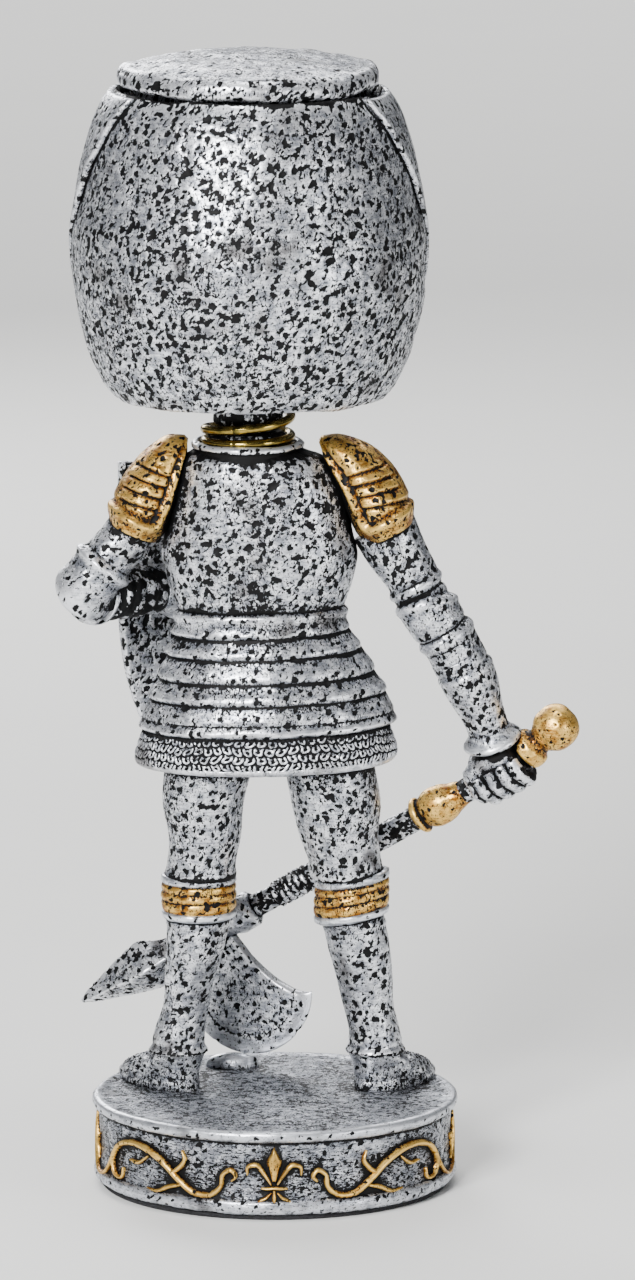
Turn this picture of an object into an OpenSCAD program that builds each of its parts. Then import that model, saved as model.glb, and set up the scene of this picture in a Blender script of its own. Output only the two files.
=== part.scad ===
// Bobble-head knight figurine, cast resin, standing on a round plinth.
// Millimetres, +Z up, origin at the centre of the underside, front faces -Y,
// the figure's own left is +X.

/* [Base] */
// Radius of the plinth's top rim
base_r = 29.4; // [29:0.1:31]
// Height of the plinth's top face
base_h = 14.6; // [14:0.1:15.5]
// Thickness of the felt pad
pad_t = 1; // [0.6:0.1:1.4]
// Radius of the plinth's wall under the rim
wall_r = 28.6; // [28.4:0.1:28.8]
// How far the scrollwork stands out
relief_t = 0.6; // [0.4:0.1:0.8]

/* [Waist and skirt] */
// Depth of the body as a share of its width
depth_ratio = 0.62; // [0.58:0.01:0.66]
// Lower edge of the mail skirt
skirt_z = 68.4; // [68:0.1:69]
// Half width of the mail skirt at its lower edge
skirt_w = 20.9; // [20:0.1:21.5]
// Upper edge of the belt
belt_z = 93.8; // [93.4:0.1:94.2]

/* [Neck and spring] */
// Across position of the neck
neck_x = 4.2; // [4:0.1:4.4]
// Top of the cuirass
torso_top = 119.3; // [119:0.1:119.6]
// Depth of the socket that holds the spring
socket_depth = 4; // [3.5:0.1:4.5]
// Outer radius of the spring
spring_r = 7.6; // [7.5:0.05:7.65]
// Diameter of the spring's wire
wire_d = 1.5; // [1.4:0.05:1.6]
// Rise of the spring in one turn
pitch = 1.53; // [1.51:0.01:1.56]
// Turns in the whole spring
turns = 4.7; // [4.6:0.1:4.8]
// How far the last turn is pulled open by the head
opening = 3.3; // [2.8:0.1:3.5]

/* [Helm] */
// Across position of the helm
helm_x = 3.95; // [3.8:0.05:4.1]
// Lower edge of the helm
helm_z = 128.2; // [128:0.1:128.4]
// Largest radius of the helm
helm_r = 28; // [27.8:0.1:28.4]
// Wall of the hollow helm
helm_wall = 2.4; // [2:0.1:3]
// Top of the helm's shallow dome
helm_top = 183; // [182.6:0.1:183.6]
// How far the face plate stands out
plate_t = 0.6; // [0.5:0.1:0.8]

/* [Shield] */
// Half width of the shield
shield_w = 12.6; // [12:0.1:13]
// Height of the shield
shield_h = 50; // [48:0.5:51]
// Thickness of the shield
shield_t = 2; // [1.6:0.1:2.2]

/* [Axe] */
// Radius of the shaft
shaft_r = 2.05; // [1.9:0.05:2.2]
// Radius of the blade's cutting edge
blade_r = 10.7; // [10:0.1:11]
// Thickness of the blade
blade_t = 1.8; // [1.4:0.1:2.2]

/* [Hidden] */
$fn = 64;
SILVER = [0.72, 0.73, 0.75];
GOLD = [0.76, 0.57, 0.26];
BRASS = [0.78, 0.66, 0.32];
STEEL = [0.6, 0.6, 0.62];
FELT = [0.08, 0.16, 0.1];

// ---------- skins: solids drawn through a row of closed outlines ----------

function unit(v) = v / norm(v);

// The two directions that span an outline's plane, for its normal n
function side_u(n) = unit(cross(n, [0, 1, 0]));
function side_v(n) = cross(unit(n), side_u(n));

// An ellipse of half axes r[0] and r[1] about c, square to the direction n
function oval(c, n, r, sides = 28) = [
    for (i = [0 : sides - 1])
        let (a = 360 * i / sides)
        c + r[0] * cos(a) * side_u(n) + r[1] * sin(a) * side_v(n)
];

// Half an ellipse in a level plane, closed along y = 0; side is 1 behind and -1 in front
function half_oval(x, z, w, d, side, sides = 18) = [
    for (i = [0 : sides])
        let (a = 180 * i / sides * side)
        [x + side * w * cos(a), side * d * sin(a * side), z]
];

// A solid through the outlines, first to last, each with the same number of points
module skin(rings) {
    n = len(rings[0]);
    m = len(rings);
    polyhedron(
        points = [for (ring = rings) each ring],
        faces = [
            [for (j = [0 : n - 1]) j],
            [for (j = [0 : n - 1]) (m - 1) * n + n - 1 - j],
            for (i = [0 : m - 2], j = [0 : n - 1])
                [i * n + j, (i + 1) * n + j, (i + 1) * n + (j + 1) % n, i * n + (j + 1) % n]
        ]
    );
}

// Level ovals, each stated as [z, x, y, half width, half depth]
module level_skin(stations, sides = 28) {
    skin([for (s = stations) oval([s[1], s[2], s[0]], [0, 0, 1], [s[3], s[4]], sides)]);
}

// Puts the children's +Z axis along the line from a to b, starting at a
module along(a, b) {
    d = b - a;
    translate(a)
        rotate([0, acos(d[2] / norm(d)), atan2(d[1], d[0])])
            children();
}

// ---------- base ----------

module base_pad() {
    color(FELT) cylinder(h = pad_t, r = wall_r - 0.6);
}

module base_casting() {
    foot_z = 3.4;
    rim_z = base_h - 1.8;
    color(SILVER) difference() {
        rotate_extrude($fn = 96) polygon([
            [0, pad_t], [wall_r + 0.2, pad_t], [wall_r + 0.6, pad_t + 0.7],
            [wall_r + 0.6, foot_z - 0.6], [wall_r, foot_z], [wall_r, rim_z],
            [base_r, rim_z + 0.4], [base_r, base_h - 0.4], [base_r - 0.4, base_h], [0, base_h]
        ]);
        ankle_pin(1);
        ankle_pin(-1);
    }
}

// A point of the plinth's wall: s along the wall, z up, at radius r, on the given side
function on_wall(s, z, r, side, face) =
    let (a = 90 * face + side * s / wall_r * 180 / PI)
    [r * cos(a), r * sin(a), z];

// A raised band along points [s, z, half width] of the wall
module wall_band(points, side, face) {
    last = len(points) - 1;
    r0 = wall_r + 0.03;
    rings = [
        for (i = [0 : last])
            let (p = points[i],
                 ahead = points[min(i + 1, last)] - points[max(i - 1, 0)],
                 t = unit([ahead[0], ahead[1]]),
                 w = p[2],
                 a = [p[0] - t[1] * w, p[1] + t[0] * w],
                 b = [p[0] + t[1] * w, p[1] - t[0] * w])
            [
                on_wall(a[0], a[1], r0, side, face), on_wall(b[0], b[1], r0, side, face),
                on_wall((a[0] + 2 * b[0]) / 3, (a[1] + 2 * b[1]) / 3, r0 + relief_t, side, face),
                on_wall((2 * a[0] + b[0]) / 3, (2 * a[1] + b[1]) / 3, r0 + relief_t, side, face)
            ]
    ];
    if (side > 0)
        skin(rings);
    else
        skin([for (i = [last : -1 : 0]) rings[i]]);
}

// A round arc as band points: centre c, radius r, angles a0 to a1, widths w0 to w1
function arc_band(c, r, a0, a1, w0, w1, steps) = [
    for (i = [0 : steps])
        let (k = i / steps, a = a0 + (a1 - a0) * k)
        [c[0] + r * cos(a), c[1] + r * sin(a), w0 + (w1 - w0) * k]
];

module scroll_half(side, face) {
    // the low sweep that ends in a curl beside the lily
    wall_band(arc_band([11, 9.3], 3.9, 170, 345, 0.7, 0.8, 12), side, face);
    // the high sweep that runs on towards the side of the plinth
    wall_band(arc_band([24.5, 4.6], 7.6, 148, 42, 0.8, 0.5, 10), side, face);
    // the leaf between the two sweeps
    wall_band(arc_band([13.5, 9.2], 2.4, 60, -10, 0.25, 0.5, 5), side, face);
    // the tail that rises to the side point
    wall_band(arc_band([39.4, 5.2], 7.6, 172, 108, 0.5, 0.3, 7), side, face);
}

module lily(face) {
    for (side = [-1, 1]) {
        wall_band(arc_band([2.9, 8.2], 1.5, 160, -40, 0.4, 0.3, 7), side, face);
        wall_band(arc_band([1.9, 5.9], 1.1, 215, 350, 0.3, 0.25, 5), side, face);
    }
    wall_band([[0, 12, 0.1], [0, 10.6, 0.8], [0, 9.2, 1], [0, 7.5, 0.4]], 1, face);
    wall_band([[-1.7, 6.95, 0.35], [0, 6.95, 0.35], [1.7, 6.95, 0.35]], 1, face);
    wall_band([[0, 6.3, 0.4], [0, 5.2, 0.3], [0, 4, 0.1]], 1, face);
}

module base_relief() {
    color(GOLD) for (face = [-1, 1]) {
        lily(face);
        for (side = [-1, 1])
            scroll_half(side, face);
    }
}

module axe_rest() {
    color(SILVER) translate([7, -18.6, base_h])
        rotate([0, 0, -18])
            translate([-4.2, -1.5, 0])
                cube([8.4, 3, 1.9]);
}

// ---------- legs: stations are [z, x, y, half width, half depth] ----------

function leg_x(side) = side > 0 ? 0 : -0.6;

module ankle_pin(side) {
    translate([side * 15.7 + leg_x(side), -3.6, 5])
        cylinder(h = 24, r = 1);
}

module pin_steel(side) {
    color(STEEL) ankle_pin(side);
}

// A foot: level ovals that draw back from the toe to the ankle
module sabaton(side) {
    heading = 38;
    toe_out = [side * sin(heading), -cos(heading)];
    ankle = [side * 15.6 + leg_x(side), -3.6];
    rows = [[0, 5.1, 9.2, 4.7], [1.6, 5, 9.1, 4.7], [1.7, 4.8, 8.8, 4.4], [3.4, 3.7, 7.8, 4.4],
            [4.8, 1.7, 6, 4.35], [5.8, 0, 4.4, 4.3]];
    color(SILVER) difference() {
        skin([for (row = rows) [
            for (i = [0 : 27])
                let (a = 360 * i / 28,
                     p = ankle + toe_out * (row[1] + row[2] * cos(a))
                         + [-toe_out[1], toe_out[0]] * row[3] * sin(a))
                [p[0], p[1], base_h + row[0]]
        ]]);
        ankle_pin(side);
    }
}

module greave(side) {
    x = leg_x(side);
    color(SILVER) difference() {
        level_skin([
            [base_h + 5.8, side * 15.6 + x, -3.6, 4.6, 4.6], [23.5, side * 15.3 + x, -3.6, 4.3, 4.3],
            [28.5, side * 14.3 + x, -3.3, 3.7, 3.9], [33, side * 13.7 + x, -2.6, 4.1, 4.5],
            [38, side * 12.8 + x, -2, 4.7, 5], [43, side * 12.2 + x, -1.8, 5.1, 5.2]
        ]);
        ankle_pin(side);
    }
}

// Knee guard: three gold ridges between two plain edges
module poleyn(side) {
    x = side * 12.2 + leg_x(side) * 0.3;
    low = 43;
    high = 50;
    step = (high - low - 2.4) / 3;
    color(GOLD) translate([x, -1.4, 0]) rotate_extrude() polygon([
        [0, low], [5.7, low], [6.1, low + 0.5], [6, low + 1.2],
        for (i = [0 : 2]) each [[5.7, low + 1.2 + step * i], [6.1, low + 1.2 + step * (i + 0.5)]],
        [5.7, high - 1.2], [6.1, high - 0.8], [6.1, high - 0.3], [5.7, high], [0, high]
    ]);
}

module cuisse(side) {
    x = leg_x(side);
    color(SILVER) level_skin([
        [50, side * 11.9 + x, -1.2, 5.7, 5.9], [56, side * 11.2 + x * 0.5, -0.8, 5.8, 6.4],
        [62, side * 10.4 + x * 0.2, -0.3, 6.5, 7.2], [skirt_z, side * 9.3 + 0.9, 0, 7.2, 8]
    ]);
}

// ---------- skirt, fauld and belt ----------

// A band of the body between two levels, each [z, centre x, half width]
module body_band(stations) {
    level_skin([for (s = stations) [s[0], s[1], 0, s[2], s[2] * depth_ratio]], 40);
}

module mail_skirt() {
    color(SILVER) body_band([
        [skirt_z, 1.45, skirt_w - 1.2], [skirt_z + 0.8, 1.45, skirt_w - 0.2],
        [skirt_z + 2, 1.4, skirt_w], [74.6, 1.2, 19.7]
    ]);
}

// Lower level, upper level, half widths there and centre of each fauld lame, top to bottom
LAMES = [[86.5, 89.7, 15.5, 14.1, 1.8], [82.8, 86.5, 17.3, 15, 1.4],
         [79.5, 82.8, 19, 16.8, 1.2], [74.6, 79.5, 20.3, 18.4, 1.1]];

module fauld_lame(index) {
    lame = LAMES[index];
    color(SILVER) body_band([
        [lame[0], lame[4], lame[2] - 0.3], [lame[0] + 0.5, lame[4], lame[2]],
        [lame[1], lame[4], lame[3]]
    ]);
}

module waist_belt() {
    color(SILVER) body_band([
        [89.7, 2.3, 13.7], [90, 2.3, 14], [belt_z - 0.3, 2.3, 13.8], [belt_z, 2.3, 13.5]
    ]);
}

// ---------- cuirass ----------

// Level, centre x, half width and half depth of the cuirass
CUIRASS = [[belt_z, 2.3, 13.4, 8.2], [98, 2.3, 14.8, 8.9], [102, 2.4, 15.6, 9.3],
           [106, 2.5, 14.8, 9.4], [112, 2.5, 12.7, 8.9], [116.5, 3, 11.3, 8.4],
           [torso_top, 3.9, 9.7, 8.4]];

module spring_socket() {
    translate([neck_x, 0, torso_top - socket_depth])
        cylinder(h = socket_depth + 1, r = spring_r + 0.1);
}

module cuirass_half(side) {
    color(SILVER) difference() {
        skin([for (s = CUIRASS) half_oval(s[1], s[0], s[2], s[3], side)]);
        spring_socket();
        shoulder_pin(1);
        shoulder_pin(-1);
    }
}

module neck_collar() {
    color(SILVER) translate([neck_x, 0, torso_top]) difference() {
        cylinder(h = 1.7, r1 = 8.7, r2 = 8.3);
        translate([0, 0, -1]) cylinder(h = 4, r = spring_r + 0.1);
    }
}

module neck_plug() {
    color(SILVER) translate([neck_x, 0, torso_top - socket_depth])
        cylinder(h = socket_depth + 2.9, r = spring_r - wire_d - 0.15);
}

// ---------- arms ----------

// Outlines square to the arm, each [centre, direction, half width, half depth]
module arm_skin(stations) {
    skin([for (s = stations) oval(s[0], unit(s[1]), [s[2], s[3]], 24)]);
}

module shoulder_pin(side) {
    inner = side > 0 ? 10 : -5;
    translate([inner, 0, 112])
        rotate([0, side * 90, 0])
            cylinder(h = 9, r = 1.5);
}

module shoulder_steel(side) {
    color(STEEL) shoulder_pin(side);
}

DOWN_LEFT = [0.42, 0, -0.91];
DOWN_RIGHT = [-0.475, 0, -0.88];

module pauldron(side) {
    stations = side > 0
        ? [[[16.2, 0, 120], DOWN_LEFT, 1.5, 3], [[17.4, 0, 118], DOWN_LEFT, 3.2, 5],
           [[19.3, 0, 113.8], DOWN_LEFT, 4.2, 6.2], [[22.2, 0, 107.6], DOWN_LEFT, 4.7, 6.6]]
        : [[[-11.2, 0, 120.6], DOWN_RIGHT, 1.6, 3.2], [[-12.6, 0, 118.2], DOWN_RIGHT, 3.3, 5.2],
           [[-15, 0, 113.6], DOWN_RIGHT, 4.3, 6.3], [[-18.1, 0, 107.8], DOWN_RIGHT, 4.7, 6.6]];
    color(GOLD) difference() {
        arm_skin(stations);
        shoulder_pin(side);
    }
}

// Points of the arms, from the shoulder down, and the direction of the arm at each
LEFT_ARM = [[[22.2, 0, 107.6], DOWN_LEFT], [[26.7, 0.2, 101.4], [0.62, 0.03, -0.78]],
            [[28.2, 0.3, 99.8], [0.62, 0, -0.78]]];
RIGHT_ARM = [[[-18.1, 0, 107.8], DOWN_RIGHT], [[-19.3, 0.2, 103.2], [-0.36, 0.03, -0.93]],
             [[-22.5, 0.4, 96.9], [-0.47, 0.03, -0.88]], [[-23.3, 0.4, 95.4], [-0.5, 0, -0.87]],
             [[-25.4, 0.3, 92.2], [-0.53, -0.04, -0.85]], [[-27.7, 0, 88.4], [-0.5, -0.1, -0.86]],
             [[-28.4, -0.2, 87.1], [-0.48, -0.16, -0.86]], [[-30.9, -1.2, 82], [-0.4, -0.17, -0.9]],
             [[-33.5, -2.6, 75.6], [-0.36, -0.2, -0.91]], [[-34.8, -3.4, 71.8], [-0.3, -0.25, -0.92]]];

function arm_station(arm, i, r) = [arm[i][0], arm[i][1], r, r];

module rerebrace_left() {
    color(SILVER) arm_skin([arm_station(LEFT_ARM, 0, 3.9), arm_station(LEFT_ARM, 1, 4)]);
}

module rerebrace_right() {
    color(SILVER) arm_skin([
        arm_station(RIGHT_ARM, 0, 3.7), arm_station(RIGHT_ARM, 1, 3.55),
        arm_station(RIGHT_ARM, 2, 3.9)
    ]);
}

LEFT_ELBOW = [30.4, 0, 96.4];
LEFT_FOREARM = [[27.6, -3.6, 95.6], [15.6, -12.6, 94.4]];
FOREARM_WAY = LEFT_FOREARM[1] - LEFT_FOREARM[0];
LEFT_HAND = LEFT_FOREARM[1] + unit(FOREARM_WAY) * 3.2;

// Elbow guard: the band round the arm, then the cup over the elbow
module couter_left() {
    color(SILVER) arm_skin([
        [LEFT_ARM[1][0], LEFT_ARM[1][1], 4.7, 4.7], [LEFT_ARM[2][0], LEFT_ARM[2][1], 4.8, 4.8],
        [LEFT_ELBOW + [-0.6, 0, 1.6], [0.66, -0.2, -0.72], 5.1, 5.1],
        [LEFT_ELBOW + [0.2, -1.1, -0.8], [0.35, -0.75, -0.56], 5, 5],
        [LEFT_FOREARM[0], FOREARM_WAY, 4.7, 4.7]
    ]);
}

module couter_right() {
    color(SILVER) arm_skin([
        arm_station(RIGHT_ARM, 2, 4.4), arm_station(RIGHT_ARM, 3, 4.4),
        arm_station(RIGHT_ARM, 4, 4.7), arm_station(RIGHT_ARM, 5, 4.8),
        arm_station(RIGHT_ARM, 6, 4.8)
    ]);
}

module vambrace_left() {
    color(SILVER) arm_skin([
        [LEFT_FOREARM[0], FOREARM_WAY, 4.4, 4.4],
        [LEFT_FOREARM[0] + 0.35 * FOREARM_WAY, FOREARM_WAY, 4.3, 4.3],
        [LEFT_FOREARM[0] + 0.75 * FOREARM_WAY, FOREARM_WAY, 3.4, 3.4]
    ]);
}

module vambrace_right() {
    color(SILVER) arm_skin([
        arm_station(RIGHT_ARM, 6, 4.3), arm_station(RIGHT_ARM, 7, 4.6),
        arm_station(RIGHT_ARM, 8, 3.4)
    ]);
}

module cuff_left() {
    color(SILVER) arm_skin([
        [LEFT_FOREARM[0] + 0.75 * FOREARM_WAY, FOREARM_WAY, 3.5, 3.5],
        [LEFT_FOREARM[1], FOREARM_WAY, 4.4, 4.4]
    ]);
}

module cuff_right() {
    color(SILVER) arm_skin([arm_station(RIGHT_ARM, 8, 3.5), arm_station(RIGHT_ARM, 9, 4.6)]);
}

// ---------- axe: the shaft runs from the fist down to the head ----------

FIST = [-36.6, -5.1, 66.2];
SHAFT_WAY = unit([0.817, -0.261, -0.512]);
BUTT_WAY = unit([-0.729, 0.212, 0.653]);
NECK_S = 48.8;
HEAD_S = 56.7;
TIP_S = 83.5;
core_r = 0.8;

// Draws the children on the shaft's own axis, with +Z running down to the head
module on_shaft() {
    along(FIST, FIST + SHAFT_WAY) children();
}

// A turned piece with the core wire's hole, from points [radius, distance along the shaft]
module turned(points, hole) {
    first = points[0];
    last = points[len(points) - 1];
    rotate_extrude() polygon([[hole, first[1]], each points, [hole, last[1]]]);
}

// A fist: a rounded block square to what it holds, with knuckle ridges
module fist_block(size, grip) {
    intersection() {
        cube(size, center = true);
        sphere(r = grip);
    }
}

module gauntlet_right() {
    color(SILVER) difference() {
        union() {
            along(FIST, FIST + SHAFT_WAY) fist_block([8.6, 8.2, 9], 5.7);
            along(FIST, RIGHT_ARM[9][0]) cylinder(h = norm(RIGHT_ARM[9][0] - FIST), r = 3.3);
        }
        on_shaft() translate([0, 0, -8]) cylinder(h = 16, r = shaft_r);
    }
}

module gauntlet_left() {
    color(SILVER) difference() {
        union() {
            translate(LEFT_HAND) rotate([0, 0, 37]) fist_block([7, 6, 8.2], 4.3);
            along(LEFT_FOREARM[1], LEFT_HAND) cylinder(h = 3.2, r = 3);
        }
        shield_bar();
    }
}

module axe_core_wire() {
    color(STEEL) on_shaft() translate([0, 0, -4]) cylinder(h = 56, r = core_r);
}

// The shaft with its six turned ribs next to the head
module axe_shaft() {
    rib = 1.4;
    rib_s = NECK_S - 4.3 - 6 * rib;
    color(SILVER) on_shaft() turned([
        [shaft_r, -4.4], [shaft_r, rib_s],
        for (i = [0 : 5]) each [[shaft_r - 0.1, rib_s + rib * i], [shaft_r + 0.35, rib_s + rib * (i + 0.5)]],
        [shaft_r - 0.1, NECK_S - 4.3], [shaft_r - 0.15, NECK_S]
    ], core_r);
}

module axe_knop() {
    color(GOLD) on_shaft() turned([
        [shaft_r + 0.1, 8.2], [shaft_r + 0.6, 10], [3.2, 12.6], [3.1, 14.2], [2.5, 15.6],
        [2.5, 16.2], [shaft_r + 0.1, 16.8]
    ], shaft_r);
}

module axe_pommel() {
    color(GOLD) along(FIST, FIST + BUTT_WAY) rotate_extrude() polygon([
        [0, 5.2], [2.6, 5.2], [3.15, 5.8], [3.1, 7.2], [2.4, 7.8], [2.3, 8.6], [3.2, 9.8],
        [3.6, 11.6], [3.1, 13.6], [1.8, 14.8], [0, 15.2]
    ]);
}

module axe_socket() {
    color(SILVER) on_shaft() turned([
        [2.5, NECK_S], [2.9, NECK_S + 0.6], [2.9, NECK_S + 4], [2.4, NECK_S + 4.8],
        [2.4, TIP_S - 18.5]
    ], core_r);
}

// Faces of the blade lie in the upright plane that holds the shaft
module in_blade_plane() {
    translate(FIST + SHAFT_WAY * HEAD_S)
        rotate([0, 0, atan2(SHAFT_WAY[1], SHAFT_WAY[0])])
            rotate([0, -asin(SHAFT_WAY[2]), 0])
                rotate([90, 0, 0])
                    children();
}

module axe_blade() {
    reach = 11.3;
    open_angle = 61;
    neck = 2.6;
    horn = blade_r * [sin(open_angle), -cos(open_angle)] - [0, reach];
    hollow = [for (i = [0 : 6]) let (k = i / 6) [
        neck + (horn[0] - neck) * k, -3 + (horn[1] + 3) * (1 - pow(1 - k, 2))
    ]];
    outline = [
        for (p = hollow) p,
        for (i = [1 : 15])
            let (a = open_angle - 2 * open_angle * i / 16)
            [blade_r * sin(a), -reach - blade_r * cos(a)],
        for (i = [6 : -1 : 0]) [-hollow[i][0], hollow[i][1]]
    ];
    color(SILVER) difference() {
        in_blade_plane() linear_extrude(height = blade_t, center = true) polygon(outline);
        on_shaft() cylinder(h = 70, r = 2.4);
    }
}

// Four-sided spike: widest a little way behind its point
module axe_spike() {
    wide_s = TIP_S - 13.5;
    color(SILVER) on_shaft() skin([
        for (row = [[TIP_S - 18.5, 2.4], [wide_s, 4.1], [TIP_S, 0.4]]) [
            for (i = [0 : 3]) [row[1] * cos(90 * i), row[1] * sin(90 * i), row[0]]
        ]
    ]);
}

// ---------- shield: a bent heater board on the left arm ----------

SHIELD_C = [13, -19, 89.2];
bend_r = 40;

// Heater outline about its middle, drawn in by a margin m
function heater(m) = let (w = shield_w - m, top = shield_h / 2 - m, low = -shield_h / 2 + 1.6 * m) [
    [-w, top], [w, top], [w, top - 24],
    for (i = [1 : 6]) let (a = 15 * i) [w * cos(a), top - 24 + (low - top + 24) * sin(a)],
    for (i = [5 : -1 : 1]) let (a = 15 * i) [-w * cos(a), top - 24 + (low - top + 24) * sin(a)],
    [-w, top - 24]
];

// The bent sheet between two depths in front of the board's back face, cut to an outline
module bent_sheet(back, front) {
    translate(SHIELD_C) intersection() {
        translate([0, bend_r, -30]) difference() {
            cylinder(h = 60, r = bend_r + front, $fn = 128);
            translate([0, 0, -1]) cylinder(h = 62, r = bend_r + back, $fn = 128);
        }
        rotate([90, 0, 0]) linear_extrude(height = 12, center = true) children();
    }
}

module shield_board() {
    color(SILVER) bent_sheet(0, shield_t) polygon(heater(0));
}

module shield_rim() {
    color(SILVER) bent_sheet(shield_t, shield_t + 0.7) difference() {
        polygon(heater(0));
        polygon(heater(1.7));
    }
}

module shield_cross() {
    color(GOLD) bent_sheet(shield_t, shield_t + 0.5) union() {
        translate([-1.8, -20]) square([3.6, 42]);
        translate([-10.6, 5]) square([21.2, 3.6]);
    }
}

module shield_bar() {
    translate(LEFT_HAND - [0, 0, 6]) cylinder(h = 12, r = 1.1);
}

// The hand grip: an upright bar on two short arms
module shield_grip() {
    reach = LEFT_HAND[1] - SHIELD_C[1] + 0.5;
    color(SILVER) {
        shield_bar();
        for (z = [-6, 6])
            translate([LEFT_HAND[0] - 1.1, SHIELD_C[1] + 0.15, LEFT_HAND[2] + z - 0.8])
                cube([2.2, reach, 1.6]);
    }
}

// ---------- spring: one wire, shared between the bodies of the neck ----------

coil_r = spring_r - wire_d / 2;
spring_z = torso_top - socket_depth + wire_d / 2 + 0.05;
// Turns at which the wire passes from one body to the next
SHARES = [0, 2.7, 3.2, 3.7, 4.2, turns];

// Level of the wire after t turns: close-wound, then opening towards the head
function wire_z(t) = spring_z + pitch * t + opening * pow(max(0, t - 3.6) / (turns - 3.6), 2);

module wire_piece(index) {
    gap = 0.01;
    from = SHARES[index] + gap;
    upto = SHARES[index + 1] - gap;
    steps = ceil((upto - from) * 20);
    color(BRASS) skin([
        for (i = [0 : steps])
            let (t = from + (upto - from) * i / steps,
                 a = 360 * t,
                 c = [neck_x + coil_r * cos(a), coil_r * sin(a), wire_z(t)],
                 rise = (wire_z(t + 0.01) - wire_z(t)) / 0.01,
                 n = unit([-sin(a) * 2 * PI * coil_r, cos(a) * 2 * PI * coil_r, rise]),
                 out = [cos(a), sin(a), 0],
                 up = cross(n, out))
            [for (j = [0 : 7]) c + wire_d / 2 * (cos(45 * j) * out + sin(45 * j) * up)]
    ]);
}

// ---------- helm ----------

// Outer radius and level of the helm's barrel, from the lower edge to the crown
function helm_profile(grow) = [
    for (p = [[0.77, 0], [0.865, 4.2], [0.943, 10.5], [0.989, 16.7], [1, 23.8], [0.979, 30.2],
              [0.947, 36.4], [0.919, 40.5], [0.859, 43.8], [0.823, 46], [0.735, 48.9]])
        [helm_r * p[0] + grow, helm_z + p[1]]
];

module helm_shell(inner, outer) {
    a = helm_profile(inner);
    b = helm_profile(outer);
    translate([helm_x, 0, 0]) rotate_extrude($fn = 96) polygon([
        each b,
        for (i = [len(a) - 1 : -1 : 0]) a[i]
    ]);
}

module helm_barrel() {
    color(SILVER) helm_shell(-helm_wall, 0);
}

module helm_floor() {
    color(SILVER) translate([helm_x, 0, 0]) union() {
        translate([0, 0, helm_z + 0.2]) cylinder(h = 2.4, r = 0.77 * helm_r - helm_wall - 0.05);
        translate([neck_x - helm_x, 0, helm_z - 3])
            cylinder(h = 4, r = spring_r - wire_d - 0.15);
    }
}

// The flat cap with its overhanging edge and shallow dome
module helm_crown() {
    z = helm_z + 48.9;
    color(SILVER) translate([helm_x, 0, 0]) rotate_extrude($fn = 96) polygon([
        [0, z], [20.4, z], [20.8, z + 0.5], [20.7, z + 2.6], [20, z + 3.6], [14, z + 4.8],
        [7, helm_top - 0.2], [0, helm_top]
    ]);
}

// Front sector of the helm, half_angle each side of straight ahead
module front_wedge(half_angle, z0, z1) {
    reach = 40;
    translate([helm_x, 0, z0]) linear_extrude(height = z1 - z0) polygon([
        [0, 0], [-reach * sin(half_angle), -reach * cos(half_angle)], [0, -reach * 1.2],
        [reach * sin(half_angle), -reach * cos(half_angle)]
    ]);
}

EYE_Z = helm_z + 29;

// Everything in front of the face plate's rear edge, which leans back towards the top
module plate_side() {
    rear = [[-12, 1.5], [-6, 14], [1, 26.8], [6, 35.3], [9.6, 41], [9.9, 46]];
    rotate([90, 0, 90]) linear_extrude(height = 70, center = true) polygon([
        [-40, helm_z + 1.5],
        for (p = rear) [p[0], helm_z + p[1]],
        [-40, helm_z + 46]
    ]);
}

module helm_face_plate() {
    color(SILVER) difference() {
        intersection() {
            helm_shell(0.02, plate_t);
            plate_side();
        }
        eye_slits();
        for (side = [-1, 1], row = [0 : 3], column = [0 : 2])
            translate([helm_x + side * (6 + 3.6 * column), -18, helm_z + 6.5 + 3.6 * row])
                rotate([90, 0, 0])
                    cylinder(h = 20, r = 0.8);
    }
}

module eye_slits() {
    for (side = [-1, 1])
        translate([helm_x + side * 9.4 - 6.2, -40, EYE_Z - 0.9])
            cube([12.4, 30, 1.8]);
}

module helm_cross() {
    color(GOLD) difference() {
        intersection() {
            helm_shell(plate_t + 0.04, plate_t + 0.9);
            union() {
                translate([helm_x - 2.6, -40, helm_z + 2]) cube([5.2, 30, 43.5]);
                intersection() {
                    translate([helm_x - 24, -40, EYE_Z - 3.4]) cube([48, 30, 6.8]);
                    front_wedge(54, helm_z, helm_z + 48);
                }
            }
        }
        eye_slits();
    }
}

// ---------- one node at a time ----------

base_pad();
base_casting();
base_relief();
axe_rest();
pin_steel(1);  // ankle_pin_left
pin_steel(-1);  // ankle_pin_right
sabaton(1);  // sabaton_left
sabaton(-1);  // sabaton_right
greave(1);  // greave_left
greave(-1);  // greave_right
poleyn(1);  // poleyn_left
poleyn(-1);  // poleyn_right
cuisse(1);  // cuisse_left
cuisse(-1);  // cuisse_right
mail_skirt();
fauld_lame(0);  // fauld_lame_1
fauld_lame(1);  // fauld_lame_2
fauld_lame(2);  // fauld_lame_3
fauld_lame(3);  // fauld_lame_4
waist_belt();
cuirass_half(1);  // back_plate
cuirass_half(-1);  // breast_plate
neck_collar();
neck_plug();
pauldron(1);  // pauldron_left
pauldron(-1);  // pauldron_right
shoulder_steel(1);  // shoulder_pin_left
shoulder_steel(-1);  // shoulder_pin_right
rerebrace_left();
rerebrace_right();
couter_left();
couter_right();
vambrace_left();
vambrace_right();
cuff_left();
cuff_right();
gauntlet_left();
gauntlet_right();
shield_board();
shield_rim();
shield_cross();
shield_grip();
axe_pommel();
axe_shaft();
axe_knop();
axe_socket();
axe_blade();
axe_spike();
axe_core_wire();
wire_piece(0);  // spring_seat_turns
wire_piece(1);  // spring_low_turn
wire_piece(2);  // spring_mid_turn
wire_piece(3);  // spring_high_turn
wire_piece(4);  // spring_head_turns
helm_floor();
helm_barrel();
helm_crown();
helm_face_plate();
helm_cross();
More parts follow.
